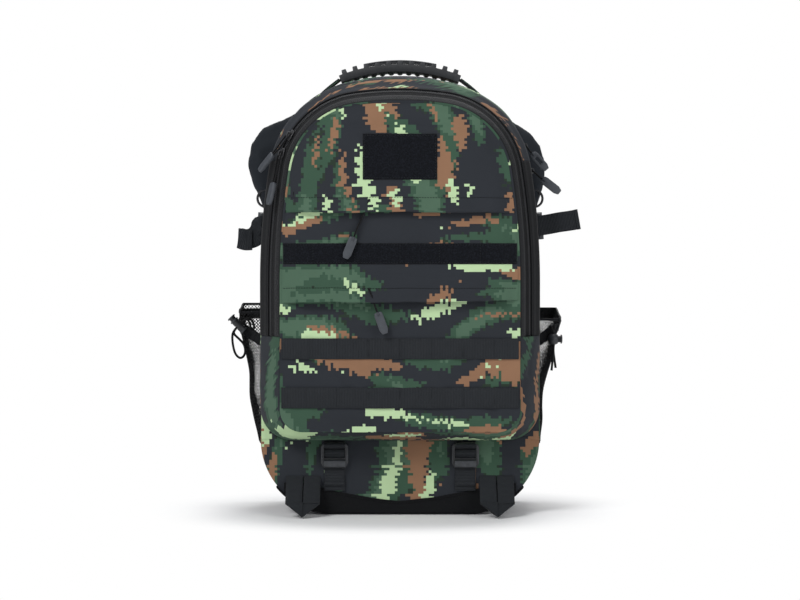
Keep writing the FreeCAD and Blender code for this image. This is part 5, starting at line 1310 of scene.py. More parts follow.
def baseLoop(side, word):
    # webbing folded to a point: down one leg, flipped over, up the other
    x = side * loopEnd["x"]
    lean = math.acos(loopEnd["drop"] / loopEnd["long"])
    down = Vector((0, -math.sin(lean), -math.cos(lean)))
    normal = Vector((0, -math.cos(lean), math.sin(lean)))
    top = Vector((x, *loopEnd["top"]))

    def place(u, v, lift):
        wave = 0.9 * noise.noise(Vector((u / 18, v / 26, side * 2.2)))
        return top + Vector((u, 0, 0)) + down * v + normal * (lift + wave + 1.0)

    # each leg is a ribbon, and the tip two triangles of cloth that cross
    for leg in (-1, 1):
        path = [place(leg * loopEnd["apart"], v, 0.6 if leg > 0 else 0.2) for v in steps(0, 43.5, 26)]
        name = f"{word}BaseLoopLeg{'Inner' if leg * side < 0 else 'Outer'}"
        nodes = ["base_loops"] if leg > 0 else []
        packWebbing(name, path, (1, 0, 0), loopEnd["wide"], 1.4, 0.3, leg + side, nodes)
    for n, (a, b, c, lift) in enumerate(loopEnd["tips"]):
        rows, marks = [], []
        for t in steps(0, 1, 14):
            row, mark = [], []
            for s in steps(0, 1, 18):
                u = (a[0] + (b[0] - a[0]) * s) * (1 - t) + c[0] * t
                v = (a[1] + (b[1] - a[1]) * s) * (1 - t) + c[1] * t
                row.append(tuple(place(u, v, lift)))
                mark.append((u + v, u - v))
            rows.append(row)
            marks.append(mark)
        tip = gridPiece(f"{word}BaseLoopTip{n}", rows, marks, "webbing", 1.3, core=(x, 0, 20))
        settle(tip, "pack", "webbing")


for side, word in hands:
    baseLoop(side, word)
print("lower front finished")


# finished rigid pieces: a copy of a CAD node with its edges softened

def smallestIsland(work):
    # keeps the separate shape with the fewest points
    seen, islands = set(), []
    for vert in work.verts:
        if vert in seen:
            continue
        stack, island = [vert], []
        seen.add(vert)
        while stack:
            here = stack.pop()
            island.append(here)
            for edge in here.link_edges:
                other = edge.other_vert(here)
                if other not in seen:
                    seen.add(other)
                    stack.append(other)
        islands.append(island)
    islands.sort(key=len)
    bmesh.ops.delete(work, geom=[v for island in islands[1:] for v in island], context="VERTS")


def copyOf(node):
    # a CAD node's mesh to work on, its doubles merged
    source = frame["nodes"][node]
    work = bmesh.new()
    work.from_mesh(source.data)
    work.transform(source.matrix_world)
    bmesh.ops.remove_doubles(work, verts=work.verts, dist=1e-6)
    return work


def finished(node, name, finish, body, slotName, width=0.35, angle=32, smallest=False, segments=2):
    work = copyOf(node)
    if smallest:
        smallestIsland(work)
    bmesh.ops.dissolve_limit(work, angle_limit=math.radians(1.5), verts=work.verts, edges=work.edges)
    mesh = bpy.data.meshes.new(name)
    work.to_mesh(mesh)
    work.free()
    piece = link(name, mesh, finish)
    soften = piece.modifiers.new("edges", "BEVEL")
    soften.width, soften.segments = width * mm, segments
    soften.limit_method, soften.angle_limit = "ANGLE", math.radians(angle)
    soften.harden_normals = False
    applyAll(piece)
    smoothed(mesh, 40)
    return settle(piece, body, slotName, node)


for node, name, body in (
    ("low_lock_left", "leftLadderLock", "low_lock_left"),
    ("low_lock_right", "rightLadderLock", "low_lock_right"),
    ("shoulder_locks", "strapAdjusters", "pack"),
    ("chest_socket", "chestSocket", "pack"),
    ("chest_plug", "chestPlug", "chest_plug"),
    ("side_sockets", "sideSockets", "pack"),
    ("side_plug_left", "leftSidePlug", "side_plug_left"),
    ("side_plug_right", "rightSidePlug", "side_plug_right"),
    ("cord_lock_left", "barrelLock", "pack"),
    ("cord_lock_right", "ballLock", "pack"),
    ("cord_plunger_left", "barrelPlunger", "cord_plunger_left"),
    ("cord_plunger_right", "ballPlunger", "cord_plunger_right"),
):
    finished(node, name, "buckle", body, "buckle_plastic", 0.3 if "cord" in node else 0.45)
for zipName in (
    "front_slider_low", "front_slider_high", "main_slider_low", "main_slider_high", "upper_pocket_slider",
    "lower_pocket_slider",
):
    finished(zipName, zipName.replace("_", "-") + "-body", "lacquer", zipName, "slider_metal", 0.25)
finished("handle_grip", "handleGrip", "rubber", "handle", "handle_rubber", 0.6, 30)
finished("shoulder_rings", "strapRings", "enamel", "pack", "ring_metal", 0.15, 60)
print("rigid pieces finished")


def cornerFill(side, word):
    # camouflage cloth of the main wall, seen beside the round corners of the front compartment
    line = [p for p in archLine(1.2, *packWall[1:], 0.5) if p[0] > 100]
    rows, marks = [], []
    for z in steps(91.6, 168.0, 30):
        far = min(line, key=lambda p: abs(p[1] - z))[0]
        row = [(side * x, -37.9 - 0.5 * ripple(x, side, z, 30, 2.2), z) for x in steps(112.0, far, 14)]
        rows.append(row)
        marks.append([(z, x) for x, y, z in row])
    settle(gridPiece(word + "CornerCloth", rows, marks, "camoLow", 1.0), "main_flap", "camo_fabric")


for side, word in hands:
    cornerFill(side, word)
finished("frame_sheet", "frameSheet", "sheetPlastic", "pack", "frame_plastic", 0.2)


# zip pulls: a moulded grip on a cord loop

def joint(name):
    return next(j for j in frame["joints"] if j["name"] == name)


def cordPiece(name, route, diameter):
    # a round cord on one smooth spline through given points, in millimetres
    curve = bpy.data.curves.new(name, "CURVE")
    curve.dimensions = "3D"
    curve.bevel_depth = diameter / 2 * mm
    curve.bevel_resolution = 3
    curve.resolution_u = 8
    curve.use_fill_caps = True
    spline = curve.splines.new("NURBS")
    spline.points.add(len(route) - 1)
    for point, place in zip(spline.points, route):
        point.co = (place[0] * mm, place[1] * mm, place[2] * mm, 1)
    spline.order_u = 3
    spline.use_endpoint_u = True
    return link(name, curve, "cord")


def routeLength(route):
    # length of a quadratic spline with these poles, end points reached
    poles = [Vector(p) for p in route]
    spans = len(poles) - 2
    knots = [0.0, 0.0, 0.0] + [float(n) for n in range(1, spans)] + [float(spans)] * 3

    def at(t):
        k = min(int(t), spans - 1) + 2
        local = [poles[j + k - 2].copy() for j in range(3)]
        for r in (1, 2):
            for j in range(2, r - 1, -1):
                low, high = knots[j + k - 2], knots[j + 1 + k - r]
                share = (t - low) / (high - low)
                local[j] = local[j - 1].lerp(local[j], share)
        return local[2]

    spots = [at(spans * n / 600) for n in range(601)]
    return sum((b - a).length for a, b in zip(spots, spots[1:]))


def declareCord(route):
    [c * mm for c in route[0]]
    routeLength(route) * mm


pull = {"cord": 2.1, "half": 3.5, "deepHalf": 2.2, "top": 0.6, "deepTop": 2.4, "collar": (2.6, 3.0, 4.2)}


def zipPull(node, name, deep):
    # the grip is the CAD's; the loop goes round the bail and down to it
    piece = finished(node, name + "Grip", "softGrip", node, "pull_rubber", 0.9, 30, smallest=True, segments=3)
    spots = [v.co / mm for v in piece.data.vertices]
    middle = sum(spots, Vector()) / len(spots)
    bail = Vector(joint(node + "_swing")["pos_m"]) / mm
    down = (middle - bail).normalized()
    axis = Vector(joint(node + "_swing")["axis"]).normalized()
    if deep:
        broad = down.cross(Vector((0, -1, 0))).normalized()
        apart = broad.cross(down).normalized() * pull["deepHalf"]
    else:
        apart = axis * pull["half"]
    reach = (middle - bail).length - 12.0
    bow = down.cross(apart).normalized()
    over = bail - down * pull["deepTop" if deep else "top"]
    route = [
        bail + down * reach + apart * 0.55,
        bail + down * (reach * 0.72) + apart * 0.9 + bow * 0.7,
        bail + down * (reach * 0.35) + apart * 1.0 - bow * 0.4,
        bail + down * 2.0 + apart,
        over + apart * 0.95 - down * 0.8,
        over - down * 1.1,
        over - apart * 0.95 - down * 0.8,
        bail + down * 2.0 - apart,
        bail + down * (reach * 0.35) - apart * 1.0 - bow * 0.3,
        bail + down * (reach * 0.72) - apart * 0.8 + bow * 0.5,
        bail + down * reach - apart * 0.5,
    ]
    loop = settle(cordPiece(name + "Cord", route, pull["cord"]), node, "pull_rubber")
    declareCord(route)
    # crimped collar where the cord enters the grip
    collar = bpy.data.meshes.new(name + "Collar")
    work = bmesh.new()
    low, high, tall = (size * mm for size in pull["collar"])
    bmesh.ops.create_cone(work, cap_ends=True, segments=20, radius1=low, radius2=high, depth=tall)
    seat = (bail + down * (reach + 0.2)) * mm
    for vert in work.verts:
        flat = Vector(vert.co)
        vert.co = (apart.normalized() * flat.x * 1.25 + bow * flat.y * 0.75 + down * flat.z) + seat
    bmesh.ops.recalc_face_normals(work, faces=work.faces)
    work.to_mesh(collar)
    work.free()
    ring = link(name + "Collar", collar, "softGrip")
    smoothed(collar, 50)
    settle(ring, node, "pull_rubber")


for node, name, deep in (
    ("front_slider_low_pull", "frontLowPull", False),
    ("front_slider_high_pull", "frontHighPull", False),
    ("main_slider_low_pull", "mainLowPull", True),
    ("main_slider_high_pull", "mainHighPull", True),
    ("upper_pocket_slider_pull", "upperPocketPull", True),
    ("lower_pocket_slider_pull", "lowerPocketPull", True),
):
    zipPull(node, name, deep)
print("pulls finished")


# handle: webbing legs, a camouflage edge, and the tabs

handle = {
    "depth": 58.0, "radius": 205.0, "crown": 553.0, "rubber": 4.0, "webbing": 26.0, "wall": 1.6,
    "arc": 21.0, "foot": (110.2, 508.6), "footShare": 0.22, "taper": 13.0,
}
gripCentre = handle["crown"] - handle["radius"] - handle["rubber"] - handle["wall"] / 2


def legShare(z):
    # the webbing narrows into its folded foot
    share = handle["footShare"]
    return min(1.0, share + max(0.0, z - handle["foot"][1]) / handle["taper"] * (1 - share))


def handleLegs():
    middle = handle["radius"] + handle["rubber"] + handle["wall"] / 2
    centre = handle["crown"] - middle
    turns = [math.radians(d) for d in steps(-handle["arc"], handle["arc"], 50)]
    arc = [(middle * math.sin(a), centre + middle * math.cos(a)) for a in turns]
    end, foot = arc[-1], handle["foot"]
    leg = [
        (end[0] + (foot[0] - end[0]) * t, end[1] + (foot[1] - end[1]) * t + 1.6 * math.sin(math.pi * t))
        for t in steps(0, 1, 26)[1:]
    ]
    path = [(x, handle["depth"], z) for x, z in [(-x, z) for x, z in leg[::-1]] + arc + leg]
    piece = ribbon("handleWebbing", path, (0, 1, 0), handle["webbing"], handle["wall"], "webbing")
    for vert in piece.data.vertices:
        share = legShare(vert.co.z / mm)
        vert.co.y = (handle["depth"] + (vert.co.y / mm - handle["depth"]) * share) * mm
    settle(piece, "handle", "webbing", "handle_webbing")
    # a camouflage strip sewn on the leading edge, showing as a stepped line
    for side, word in hands:
        edge = [(side * x, handle["depth"] - 12.2 * legShare(z), z + 0.9) for x, z in leg[:-3]]
        strip = ribbon(word + "HandleEdge", edge, (0, 1, 0), 5.2, 2.6, "camoEdge", 0.1, side)
        settle(strip, "handle", "webbing")


def handleTabs():
    front, rear = handle["depth"] - 14.5, handle["depth"] + 14.5
    for side, word in hands:
        line = [p for p in archLine(-1.0, *packWall[1:], 1.0) if p[0] * side > 0 and 499.5 < p[1] < 517.5]
        line.sort(key=lambda p: p[1])
        path = [(x + nx * 0.2, handle["depth"], z + nz * 0.2) for x, z, nx, nz, s in line]
        tab = ribbon(word + "HandleTab", path, (0, 1, 0), 34.0, 1.5, "camoTab", 0.15, side)
        settle(tab, "pack", "webbing", "handle_tabs")

        def sewn(place, y):
            x, z, nx, nz, s = place
            return Vector((x + nx * 1.2, y, z + nz * 1.2)), Vector((nx, 0, nz))

        lines = [[sewn(place, y) for place in line] for y in (front, rear)]
        for part in (0.15, 0.85):
            place = line[int(part * (len(line) - 1))]
            lines.append([sewn(place, y) for y in steps(front, rear, 8)])
        settle(stitches(word + "HandleTabStitches", lines), "pack", "webbing")


def gripArcPiece(name, inner, outer, span, depths, count):
    # a band of rubber on the grip's own arc
    points = []
    for degrees in steps(-span, span, count):
        a = math.radians(degrees)
        for radius, y in ((inner, depths[0]), (outer, depths[0]), (outer, depths[1]), (inner, depths[1])):
            point = Vector((radius * math.sin(a), handle["depth"] + y, gripCentre + radius * math.cos(a)))
            points.append(point * mm)
    faces = tubeFaces(0, count, 4)
    faces += [(3, 2, 1, 0), tuple((count - 1) * 4 + k for k in range(4))]
    piece = closedPiece(name, points, faces, "rubber")
    edges = piece.modifiers.new("edges", "BEVEL")
    edges.width, edges.segments = 0.5 * mm, 2
    edges.limit_method, edges.angle_limit = "ANGLE", math.radians(40)
    applyAll(piece)
    smoothed(piece.data, 50)
    return settle(piece, "handle", "handle_rubber")


grips = {"railFrom": 2.9, "railTo": 5.0, "span": 10.6, "bumpSpan": 18.6, "bumps": 13, "bump": (3.9, 4.6, 2.8)}


def gripDetail():
    top = handle["radius"] + 2 * handle["rubber"] + handle["wall"]
    inner, outer = top + grips["railFrom"], top + grips["railTo"]
    # rails that close the middle treads over their windows
    gripArcPiece("gripFrontRail", inner, outer, grips["span"], (-16.6, -9.8), 60)
    gripArcPiece("gripRearRail", inner, outer, grips["span"], (9.8, 16.6), 60)
    # a row of soft bumps under the grip, for the fingers
    mesh = bpy.data.meshes.new("gripBumps")
    work = bmesh.new()
    long, broad, tall = grips["bump"]
    for degrees in steps(-grips["bumpSpan"], grips["bumpSpan"], grips["bumps"]):
        a = math.radians(degrees)
        out = Vector((math.sin(a), 0, math.cos(a)))
        along = Vector((out.z, 0, -out.x))
        for y in (-10.4, 0.0, 10.4):
            spot = Vector((0, handle["depth"] + y, gripCentre)) + out * (handle["radius"] + 0.3)
            made = bmesh.ops.create_uvsphere(work, u_segments=12, v_segments=8, radius=1.0 * mm)["verts"]
            for vert in made:
                flat = Vector(vert.co) / mm
                point = spot + along * flat.x * long + Vector((0, flat.y * broad, 0)) + out * flat.z * tall
                vert.co = point * mm
    bmesh.ops.recalc_face_normals(work, faces=work.faces)
    work.to_mesh(mesh)
    work.free()
    bumps = link("gripBumps", mesh, "rubber")
    smoothed(mesh)
    settle(bumps, "handle", "handle_rubber")


handleLegs()
handleTabs()
gripDetail()
print("handle finished")


# net pockets with elastic bands

pockets = {
    "front": 26.0, "rear": 98.0, "low": 84.0, "mouth": 30.0, "foot": 5.0, "corner": 9.0,
    "around": 132, "tall": 170, "cell": 4.1, "strand": 1.45,
    "rim": {-1: (247.0, 256.0), 1: (238.0, 250.0)},
    "fullness": {-1: 0.85, 1: 1.8},
    "band": {"wall": 209.0, "corner": 228.0, "rear": 243.0, "wide": 13.0},
}


def rimHeight(y, side):
    front, rear = pockets["rim"][side]
    return front + (rear - front) * (y - pockets["front"]) / (pockets["rear"] - pockets["front"])


def pocketOut(y, z, side):
    # how far the net stands out from the side wall
    share = min(1.0, max(0.0, (z - pockets["low"]) / (rimHeight(y, side) - pockets["low"])))
    slope = pockets["foot"] + (pockets["mouth"] - pockets["foot"]) * share ** pockets["fullness"][side]
    sway = 2.2 * math.sin(share * 9.5 + side) * math.sin(math.pi * share)
    return max(2.5, slope + sway + 1.2 * noise.noise(Vector((y / 30, z / 26, side * 2.1))))


def netPoint(side, u, v, height=None):
    # u goes round the pocket from its front edge to its rear edge, v up it
    wall = outline["half"] + 0.6
    span, reach = pockets["rear"] - pockets["front"], pockets["mouth"]
    around = 2 * reach + span
    s = u * around
    if s < reach:
        y, share = pockets["front"], s / reach
    elif s > reach + span:
        y, share = pockets["rear"], (around - s) / reach
    else:
        y, share = pockets["front"] + (s - reach), 1.0
    z = pockets["low"] + (rimHeight(y, side) - pockets["low"]) * v
    if height:
        z = height(y, share)
    out = pocketOut(y, z, side)
    # the corners are round
    corner = pockets["corner"]
    x = wall + out * share
    if share < 1:
        over = max(0.0, share * out - (out - corner)) / corner
        y += corner * (1 - math.sqrt(max(0.0, 1 - over ** 2))) * (1 if y < 60 else -1)
    else:
        near = min(y - pockets["front"], pockets["rear"] - y)
        if near < corner:
            x -= corner * (1 - math.sqrt(1 - (1 - near / corner) ** 2)) * 0.55
    return Vector((side * x, y, z))


def netPocket(side, word):
    columns, levels = int(pockets["around"] / pockets["cell"]), int(pockets["tall"] / pockets["cell"])
    points, faces, index = [], [], {}

    def corner(a, b):
        if (a, b) not in index:
            index[(a, b)] = len(points)
            points.append(netPoint(side, a / (2 * columns), b / (2 * levels)) * mm)
        return index[(a, b)]

    for r in range(0, 2 * levels - 1, 2):
        for c in range(0, 2 * columns - 1, 2):
            faces.append([corner(*q) for q in ((c, r + 1), (c + 1, r), (c + 2, r + 1), (c + 1, r + 2))])
    netting = bpy.data.meshes.new(word + "PocketNet")
    netting.from_pydata(points, [], faces)
    net = link(word + "PocketNet", netting, "net")
    strands = net.modifiers.new("strands", "WIREFRAME")
    strands.thickness, strands.use_even_offset, strands.use_boundary = pockets["strand"] * mm, False, True
    applyAll(net)
    smoothed(net.data)
    settle(net, "pack", "net", "mesh_pocket_" + word)
    # elastic band round the pocket, ribbed and gathered, with the net standing up over it
    band = pockets["band"]

    def bandHeight(y, share):
        if share < 1:
            far = band["corner"] if y < 60 else band["rear"]
            return band["wall"] + (far - band["wall"]) * share if y < 60 else far
        run = pockets["rear"] - pockets["front"]
        return band["corner"] + (band["rear"] - band["corner"]) * (y - pockets["front"]) / run

    path, ups = [], []
    for u in steps(0.01, 0.99, 110):
        wave = 0.5 * math.sin(u * 150)
        spot = netPoint(side, u, 0, bandHeight)
        over = netPoint(side, u, 0, lambda y, share: bandHeight(y, share) + 4)
        outwards = Vector((side * 1.1, 0, 0)) if 0.23 < u < 0.77 else Vector((0, -1.0 if u < 0.5 else 1.0, 0))
        path.append(spot + outwards * (1 + wave * 0.3) + Vector((0, 0, wave * 0.4)))
        ups.append(over - spot)
    settle(ribbon(word + "PocketBand", path, ups, band["wide"], 2.0, "band", 0.2, side), "pack", "net")
    rim = [netPoint(side, u, 0.995) for u in steps(0.004, 0.996, 110)]
    settle(ribbon(word + "PocketRim", rim, (0, 0, 1), 3.0, 1.8, "binding", 0.3, side), "pack", "net")
    # tape that closes the net's foot and sides against the gusset
    wall, front, rear = outline["half"] + 1.6, pockets["front"], pockets["rear"]
    hem = [
        (side * wall, front - 1, 240), (side * wall, front - 1, 160), (side * wall, front, 96),
        (side * (wall + 1), front + 6, 85), (side * (wall + 2), 62, 83.4), (side * (wall + 1), rear - 6, 85),
        (side * wall, rear, 96), (side * wall, rear + 1, 170), (side * wall, rear + 1, 248),
    ]
    settle(
        ribbon(word + "PocketHem", curveThrough(hem, 120), (side, 0, 0.0), 5.0, 5.6, "binding", 0.15, side),
        "pack", "net",
    )


for side, word in hands:
    netPocket(side, word)
print("net pockets finished")


# elastic cords of the pockets

leftCordRoute = [
    (-187.0, 24.0, 226.0), (-187.0, 17.0, 233.0), (-191.0, 16.2, 238.5), (-195.7, 16.2, 235.1),
    (-201.0, 16.2, 230.0), (-206.3, 16.2, 224.9), (-209.5, 16.2, 219.0), (-209.0, 16.6, 207.0),
    (-206.0, 17.4, 194.0), (-199.0, 18.0, 188.0), (-193.0, 18.8, 194.0), (-194.0, 19.8, 206.0),
    (-202.0, 19.8, 214.0), (-208.5, 19.8, 220.0), (-206.3, 19.8, 224.9), (-201.0, 19.8, 230.0),
    (-195.7, 19.8, 235.1), (-191.0, 20.2, 239.5), (-183.5, 21.0, 236.0), (-182.0, 24.0, 226.0),
]
rightCordRoutes = [
    [
        (188.0, 24.0, 229.0), (188.0, 17.2, 231.0), (189.5, 14.4, 226.0), (191.5, 14.4, 221.0),
        (191.5, 14.4, 210.0), (191.5, 14.6, 198.0), (190.2, 14.4, 186.0), (189.0, 13.7, 174.0),
    ],
    [
        (194.0, 24.0, 229.0), (194.0, 20.5, 231.0), (192.5, 18.0, 226.0), (191.5, 18.0, 221.0),
        (191.5, 18.0, 210.0), (191.5, 18.0, 198.0), (193.0, 18.6, 187.0), (194.5, 19.2, 177.0),
    ],
]


pocketCordThick = 3.0


def pocketCord(name, route, node):
    piece = settle(cordPiece(name, route, pocketCordThick), "pack", "cord", node)
    declareCord(route)
    print(name, round(routeLength(route), 1), "mm")


pocketCord("leftPocketCord", leftCordRoute, "pocket_cord_left")
for route, name in zip(rightCordRoutes, ("rightCordFront", "rightCordRear")):
    pocketCord(name, route, "pocket_cord_right")


# side straps, their tails and rows

sideStrap = {
    "run": 354.0, "row": 289.0, "lift": 0.9, "bar": 0.8, "start": 5.6,
    "tail": {-1: 30.4, 1: 56.4},
    "bends": {
        -1: ((0.12, 0.3, -9.0), (0.3, 0.5, -15.0), (0.65, 0.8, -18.0), (1.0, 1.2, -17.5)),
        1: ((0.25, 0.6, 1.0), (0.5, 0.2, 2.4), (0.75, 0.9, 3.2), (1.0, 0.4, 4.4)),
    },
}


def wallPath(side, z, y0, y1, count, lift):
    # points over the stuffed side wall at a height, and the wall's outward direction
    line = [p for p in archLine(*packWall, 0.5) if p[0] * side > 0]
    x, level, nx, nz, s = min(line, key=lambda p: abs(p[1] - z) + (60 if abs(p[0]) < 100 else 0))
    bulge = sideAmount(22, 108)
    path = []
    for y in steps(y0, y1, count):
        out = lift + max(0.0, bulge(x, y, level))
        path.append((x + nx * out, y, level + nz * out))
    return path, Vector((nx, 0, nz))


def sideStraps(side, word):
    for label, z in (("Run", sideStrap["run"]), ("Row", sideStrap["row"])):
        path, out = wallPath(side, z, 26, 106, 40, sideStrap["lift"])
        up = Vector((-out.z, 0, out.x)) * (1 if out.x > 0 else -1)
        nodes = ["side_straps"] if label == "Run" else []
        packWebbing(f"{word}Side{label}", path, up, 25.0, 1.6, 0.3, side + z, nodes)
    # the loose end: round the socket's bar, then standing out sideways
    path, out = wallPath(side, sideStrap["run"], 29, 29, 2, 0.0)
    base, bar, start = Vector(path[0]), sideStrap["bar"], sideStrap["start"]
    up = Vector((-out.z, 0, out.x)) * (1 if out.x > 0 else -1)
    threaded = ((3.0, 5.2), (2.9, 0.0), (3.4, -3.0), (start, -4.0))
    spots = [base + out * off + Vector((0, bar + y, 0)) for off, y in threaded]
    for share, dy, rise in sideStrap["bends"][side]:
        far = start + (sideStrap["tail"][side] - start) * share
        spots.append(base + out * far + Vector((0, bar - 3.6 + dy, 0)) + up * rise)
    loose = curveThrough(spots, 70)
    packWebbing(word + "SideTail", loose, up, 25.0, 1.6, 0.4, side * 3)
    packWebbing(word + "SideTailEnd", [loose[-6], loose[-4], loose[-1]], up, 25.4, 3.0, 0.0, side)
    if side < 0:
        # the left end is folded back on itself
        fold = [
            loose[-1] + Vector((0, -1.2, 0)), loose[-1] + Vector((-1.6, -2.6, 0)),
            loose[-1] + Vector((0.4, -3.8, -0.6)), loose[-12] + Vector((0, -4.0, -1.6)),
            loose[-24] + Vector((0, -3.8, -2.6)),
        ]
        packWebbing(word + "SideTailFold", curveThrough(fold, 30), up, 25.0, 1.6, 0.3, 7.7)


for side, word in hands:
    sideStraps(side, word)


# the back: panel, pads, straps and chest strap

def archPlate(name, y, inset, low, corner, finish, wall, amount):
    rows = archRows(inset, low, corner, low, outline["top"] - inset - 0.3, 90, 70)
    made = [[(x, y + amount(x, z), z) for x, z in row] for row in rows]
    marks = [list(row) for row in rows]
    return gridPiece(name, made, marks, finish, wall, core=(0, y - 50, 260))


def backDents(x, z):
    gap = edgeGap(x, z, *packWall)
    return smoothStep(gap / 25) * (1.0 + 0.7 * ripple(x, 0, z, 60, 7.3))


def dividerDents(x, z):
    return 0.8 * ripple(x, 0, z, 50, 1.1)


backCloth = archPlate("backPanelCloth", 109.4, 0.6, packWall[1], packWall[2], "backCloth", 2.2, backDents)
settle(backCloth, "pack", "back_fabric", "back_panel")
divider = archPlate("dividerCloth", -36.6, 1.0, folds["main"], 40.0, "lining", 1.4, dividerDents)
settle(divider, "main_flap", "camo_fabric", "divider_panel")


def backSeam():
    # binding tape all the way round the edge of the back panel
    rows, marks = [], []
    for y in steps(106.0, 111.6, 4):
        line = archLine(*packWall)
        closing = line[0][:4] + (line[-1][4] + 2.0,)
        points = spread(line + [closing], 401)[:-1]
        rows.append([(x + nx * 1.6, y, z + nz * 1.6) for x, z, nx, nz, s in points])
        marks.append([(s, y) for x, z, nx, nz, s in points])
    settle(gridPiece("backSeamBinding", rows, marks, "binding", 1.4, closed=True), "pack", "back_fabric")


backSeam()


stuffing = {
    "frames": 14, "quality": 6, "mass": 0.25, "stretch": 18, "bend": 3, "limit": 5.0, "dimple": 0.25,
    "wing": (148.0, 32.0, 425.0, 45.0), "drop": 13.0,
}


def blownUp(piece, pressure):
    # the cloth swells against its own stiffness, no point further than the limit
    mesh, frames = piece.data, stuffing["frames"]
    rest = [v.co.copy() for v in mesh.vertices]
    cloth = piece.modifiers.new("stuffing", "CLOTH")
    cloth.settings.use_pressure = True
    cloth.settings.uniform_pressure_force = pressure
    cloth.settings.effector_weights.gravity = 0.0
    cloth.settings.quality = stuffing["quality"]
    cloth.settings.mass = stuffing["mass"]
    cloth.settings.tension_stiffness = stuffing["stretch"]
    cloth.settings.compression_stiffness = stuffing["stretch"]
    cloth.settings.bending_stiffness = stuffing["bend"]
    cloth.point_cache.frame_start, cloth.point_cache.frame_end = 1, frames
    scene = bpy.context.scene
    for n in range(1, frames + 1):
        scene.frame_set(n)
    shaped = piece.evaluated_get(bpy.context.evaluated_depsgraph_get())
    spots = [v.co.copy() for v in shaped.data.vertices]
    piece.modifiers.clear()
    scene.frame_set(1)
    limit = stuffing["limit"] * mm
    for vert, old, new in zip(mesh.vertices, rest, spots):
        step = new - old
        vert.co = old + (step if step.length < limit else step.normalized() * limit)


def wingDrop(spot):
    # the wings of the shoulder straps hang a little under their stiff shape
    middle, wide, low, over = stuffing["wing"]
    share = math.exp(-(((abs(spot.x) - middle) / wide) ** 2))
    return stuffing["drop"] * share * smoothStep((spot.z - low) / over)


def softened(node, name, finish, slotName, voxel=5.0, pressure=4.0, part=None):
    # a padded piece: the plain shape, remeshed and blown up like a cushion
    mesh = bpy.data.meshes.new(name)
    work = copyOf(node)
    if part:
        gone = [v for v in work.verts if not part(v.co / mm)]
        bmesh.ops.delete(work, geom=gone, context="VERTS")
    work.to_mesh(mesh)
    work.free()
    piece = link(name, mesh, finish)
    even = piece.modifiers.new("even", "REMESH")
    even.mode, even.voxel_size = "VOXEL", voxel * mm
    applyAll(piece)
    blownUp(piece, pressure)
    smooth = piece.modifiers.new("round", "SUBSURF")
    smooth.levels = smooth.render_levels = 1
    applyAll(piece)
    for vert in mesh.vertices:
        spot = vert.co / mm
        vert.co += vert.normal * (stuffing["dimple"] * noise.noise(spot / 16)) * mm
        if finish == "strap":
            vert.co.z -= wingDrop(spot) * mm
    smoothed(mesh)
    settle(piece, "pack", slotName, node)


for side, word in hands:
    softened("shoulder_strap_" + word, word + "ShoulderStrap", "strap", "strap_fabric")
for name, part in (
    ("leftBackPad", lambda p: p.x < -4 and p.z > 192),
    ("rightBackPad", lambda p: p.x > 4 and p.z > 192),
    ("lumbarPad", lambda p: p.z < 192),
):
    softened("back_pads", name, "pads", "back_fabric", 4.5, 6.0, part)
print("padded pieces finished")


strapRun = {
    "route": (
        (154, 172, 405), (143, 172, 365), (130, 168, 310), (120, 162, 258), (116, 157, 226),
        (116, 152, 208),
    ),
    "sway": {-1: 9.0, 1: -3.0}, "swayHeight": 455.0, "swayOver": 40.0, "lift": 9.2,
}


def strapBinding(side, word):
    # webbing sewn down the middle of each padded strap, from its ring to the adjuster
    route = []
    for x, y, z in strapRun["route"]:
        bulge = math.exp(-(((z - strapRun["swayHeight"]) / strapRun["swayOver"]) ** 2))
        route.append((side * (x + strapRun["sway"][side] * bulge), y + strapRun["lift"], z))
    packWebbing(word + "StrapWebbing", curveThrough(route, 70), (1, 0, 0), 25.0, 1.6, 0.2, side)


for side, word in hands:
    strapBinding(side, word)


finished("shoulder_webbing", "adjusterWebbing", "webbingFlat", "pack", "webbing", 0.25)
finished("chest_strap_left", "chestStrapLeft", "webbingFlat", "pack", "webbing", 0.25)
finished("chest_strap_right", "chestStrapRight", "webbingFlat", "chest_plug", "webbing", 0.25)
print("back finished")


# stage, light and camera

studio = {
    "target": Vector((0, -0.087, 0.264)), "distance": 2.6, "rise": 1.2, "lens": 97.5, "sensor": 36,
    "floor": tint(250, 250, 250), "reach": 6.0, "shadow": (0.2, 0.34),
    "air": (0.93, 0.95, 1.0, 1.0), "airLight": 0.34,
    "lights": (
        ("keySoftbox", (-1.3, -2.0, 2.0), 1.1, 40),
        ("fillSoftbox", (1.7, -1.9, 1.1), 1.4, 15),
        ("topSoftbox", (0.1, 0.5, 2.3), 1.2, 24),
        ("rearSoftbox", (0.6, 2.4, 1.5), 1.2, 18),
    ),
}


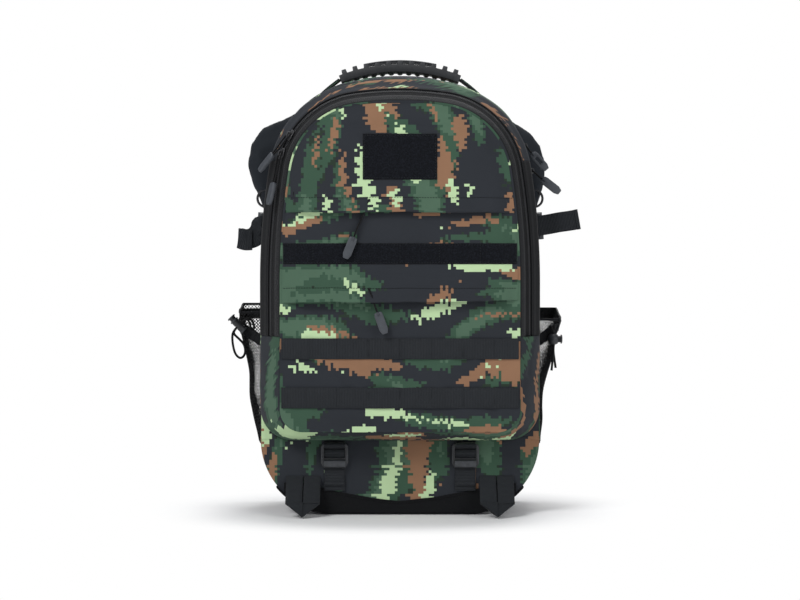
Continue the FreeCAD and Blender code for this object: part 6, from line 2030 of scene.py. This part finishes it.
def paperFloor():
    # pale paper that the camera sees as plain white, apart from the shadow on it
    material, tree, shader = blankMaterial("studioPaper", Roughness=0.9, Specular_IOR_Level=0.1)
    shader.inputs["Base Color"].default_value = studio["floor"]
    out = tree.nodes["Material Output"]
    spot = addNode(tree, "ShaderNodeTexCoord").outputs["Object"]
    flat = addNode(tree, "ShaderNodeVectorMath", {0: spot, 1: (1.0, 1.3, 0.0)}, operation="MULTIPLY")
    moved = addNode(tree, "ShaderNodeVectorMath", {0: flat.outputs[0], 1: (0.0, -0.02, 0.0)}, operation="ADD")
    far = addNode(tree, "ShaderNodeVectorMath", {0: moved.outputs[0]}, operation="LENGTH")
    near, gone = studio["shadow"]
    span = {0: far.outputs["Value"], 1: near, 2: gone, 3: 0.0, 4: 1.0}
    away = addNode(tree, "ShaderNodeMapRange", span, interpolation_type="SMOOTHSTEP")
    seen = addNode(tree, "ShaderNodeLightPath")
    plain = addNode(tree, "ShaderNodeEmission", {"Color": (1, 1, 1, 1), "Strength": 1.0})
    share = sums(tree, "MULTIPLY", away.outputs[0], seen.outputs["Is Camera Ray"])
    mixed = addNode(tree, "ShaderNodeMixShader", {0: share, 1: shader.outputs[0], 2: plain.outputs[0]})
    tree.links.new(mixed.outputs[0], out.inputs["Surface"])
    mesh = bpy.data.meshes.new("paperFloor")
    reach = studio["reach"]
    corners = [(-reach, -reach, 0), (reach, -reach, 0), (reach, reach, 0), (-reach, reach, 0)]
    mesh.from_pydata(corners, [], [(0, 1, 2, 3)])
    mesh.materials.append(material)
    piece = bpy.data.objects.new("paperFloor", mesh)
    bpy.context.collection.objects.link(piece)


paperFloor()

world = bpy.data.worlds.new("studioAir")
bpy.context.scene.world = world
world.use_nodes = True
air = world.node_tree
seen = addNode(air, "ShaderNodeLightPath")
lit = air.nodes["Background"]
lit.inputs["Color"].default_value = studio["air"]
lit.inputs["Strength"].default_value = studio["airLight"]
white = addNode(air, "ShaderNodeBackground", {"Color": (1, 1, 1, 1), "Strength": 1.0})
chosen = addNode(
    air, "ShaderNodeMixShader", {0: seen.outputs["Is Camera Ray"], 1: lit.outputs[0], 2: white.outputs[0]},
)
air.links.new(chosen.outputs[0], air.nodes["World Output"].inputs["Surface"])


def softLight(name, place, size, power):
    lamp = bpy.data.lights.new(name, "AREA")
    lamp.shape, lamp.size, lamp.energy = "DISK", size, power
    piece = bpy.data.objects.new(name, lamp)
    bpy.context.collection.objects.link(piece)
    piece.location = place
    piece.rotation_euler = (studio["target"] - Vector(place)).to_track_quat("-Z", "Y").to_euler()


for lamp in studio["lights"]:
    softLight(*lamp)

camera = bpy.data.cameras.new("catalogueCamera")
camera.lens = studio["lens"]
camera.sensor_width = studio["sensor"]
viewer = bpy.data.objects.new("catalogueCamera", camera)
bpy.context.collection.objects.link(viewer)
rise = math.radians(studio["rise"])
viewer.location = studio["target"] + Vector((0, -math.cos(rise), math.sin(rise))) * studio["distance"]
viewer.rotation_euler = (studio["target"] - viewer.location).to_track_quat("-Z", "Y").to_euler()
bpy.context.scene.camera = viewer
bpy.context.scene.view_settings.view_transform = "Standard"
bpy.context.view_layer.update()
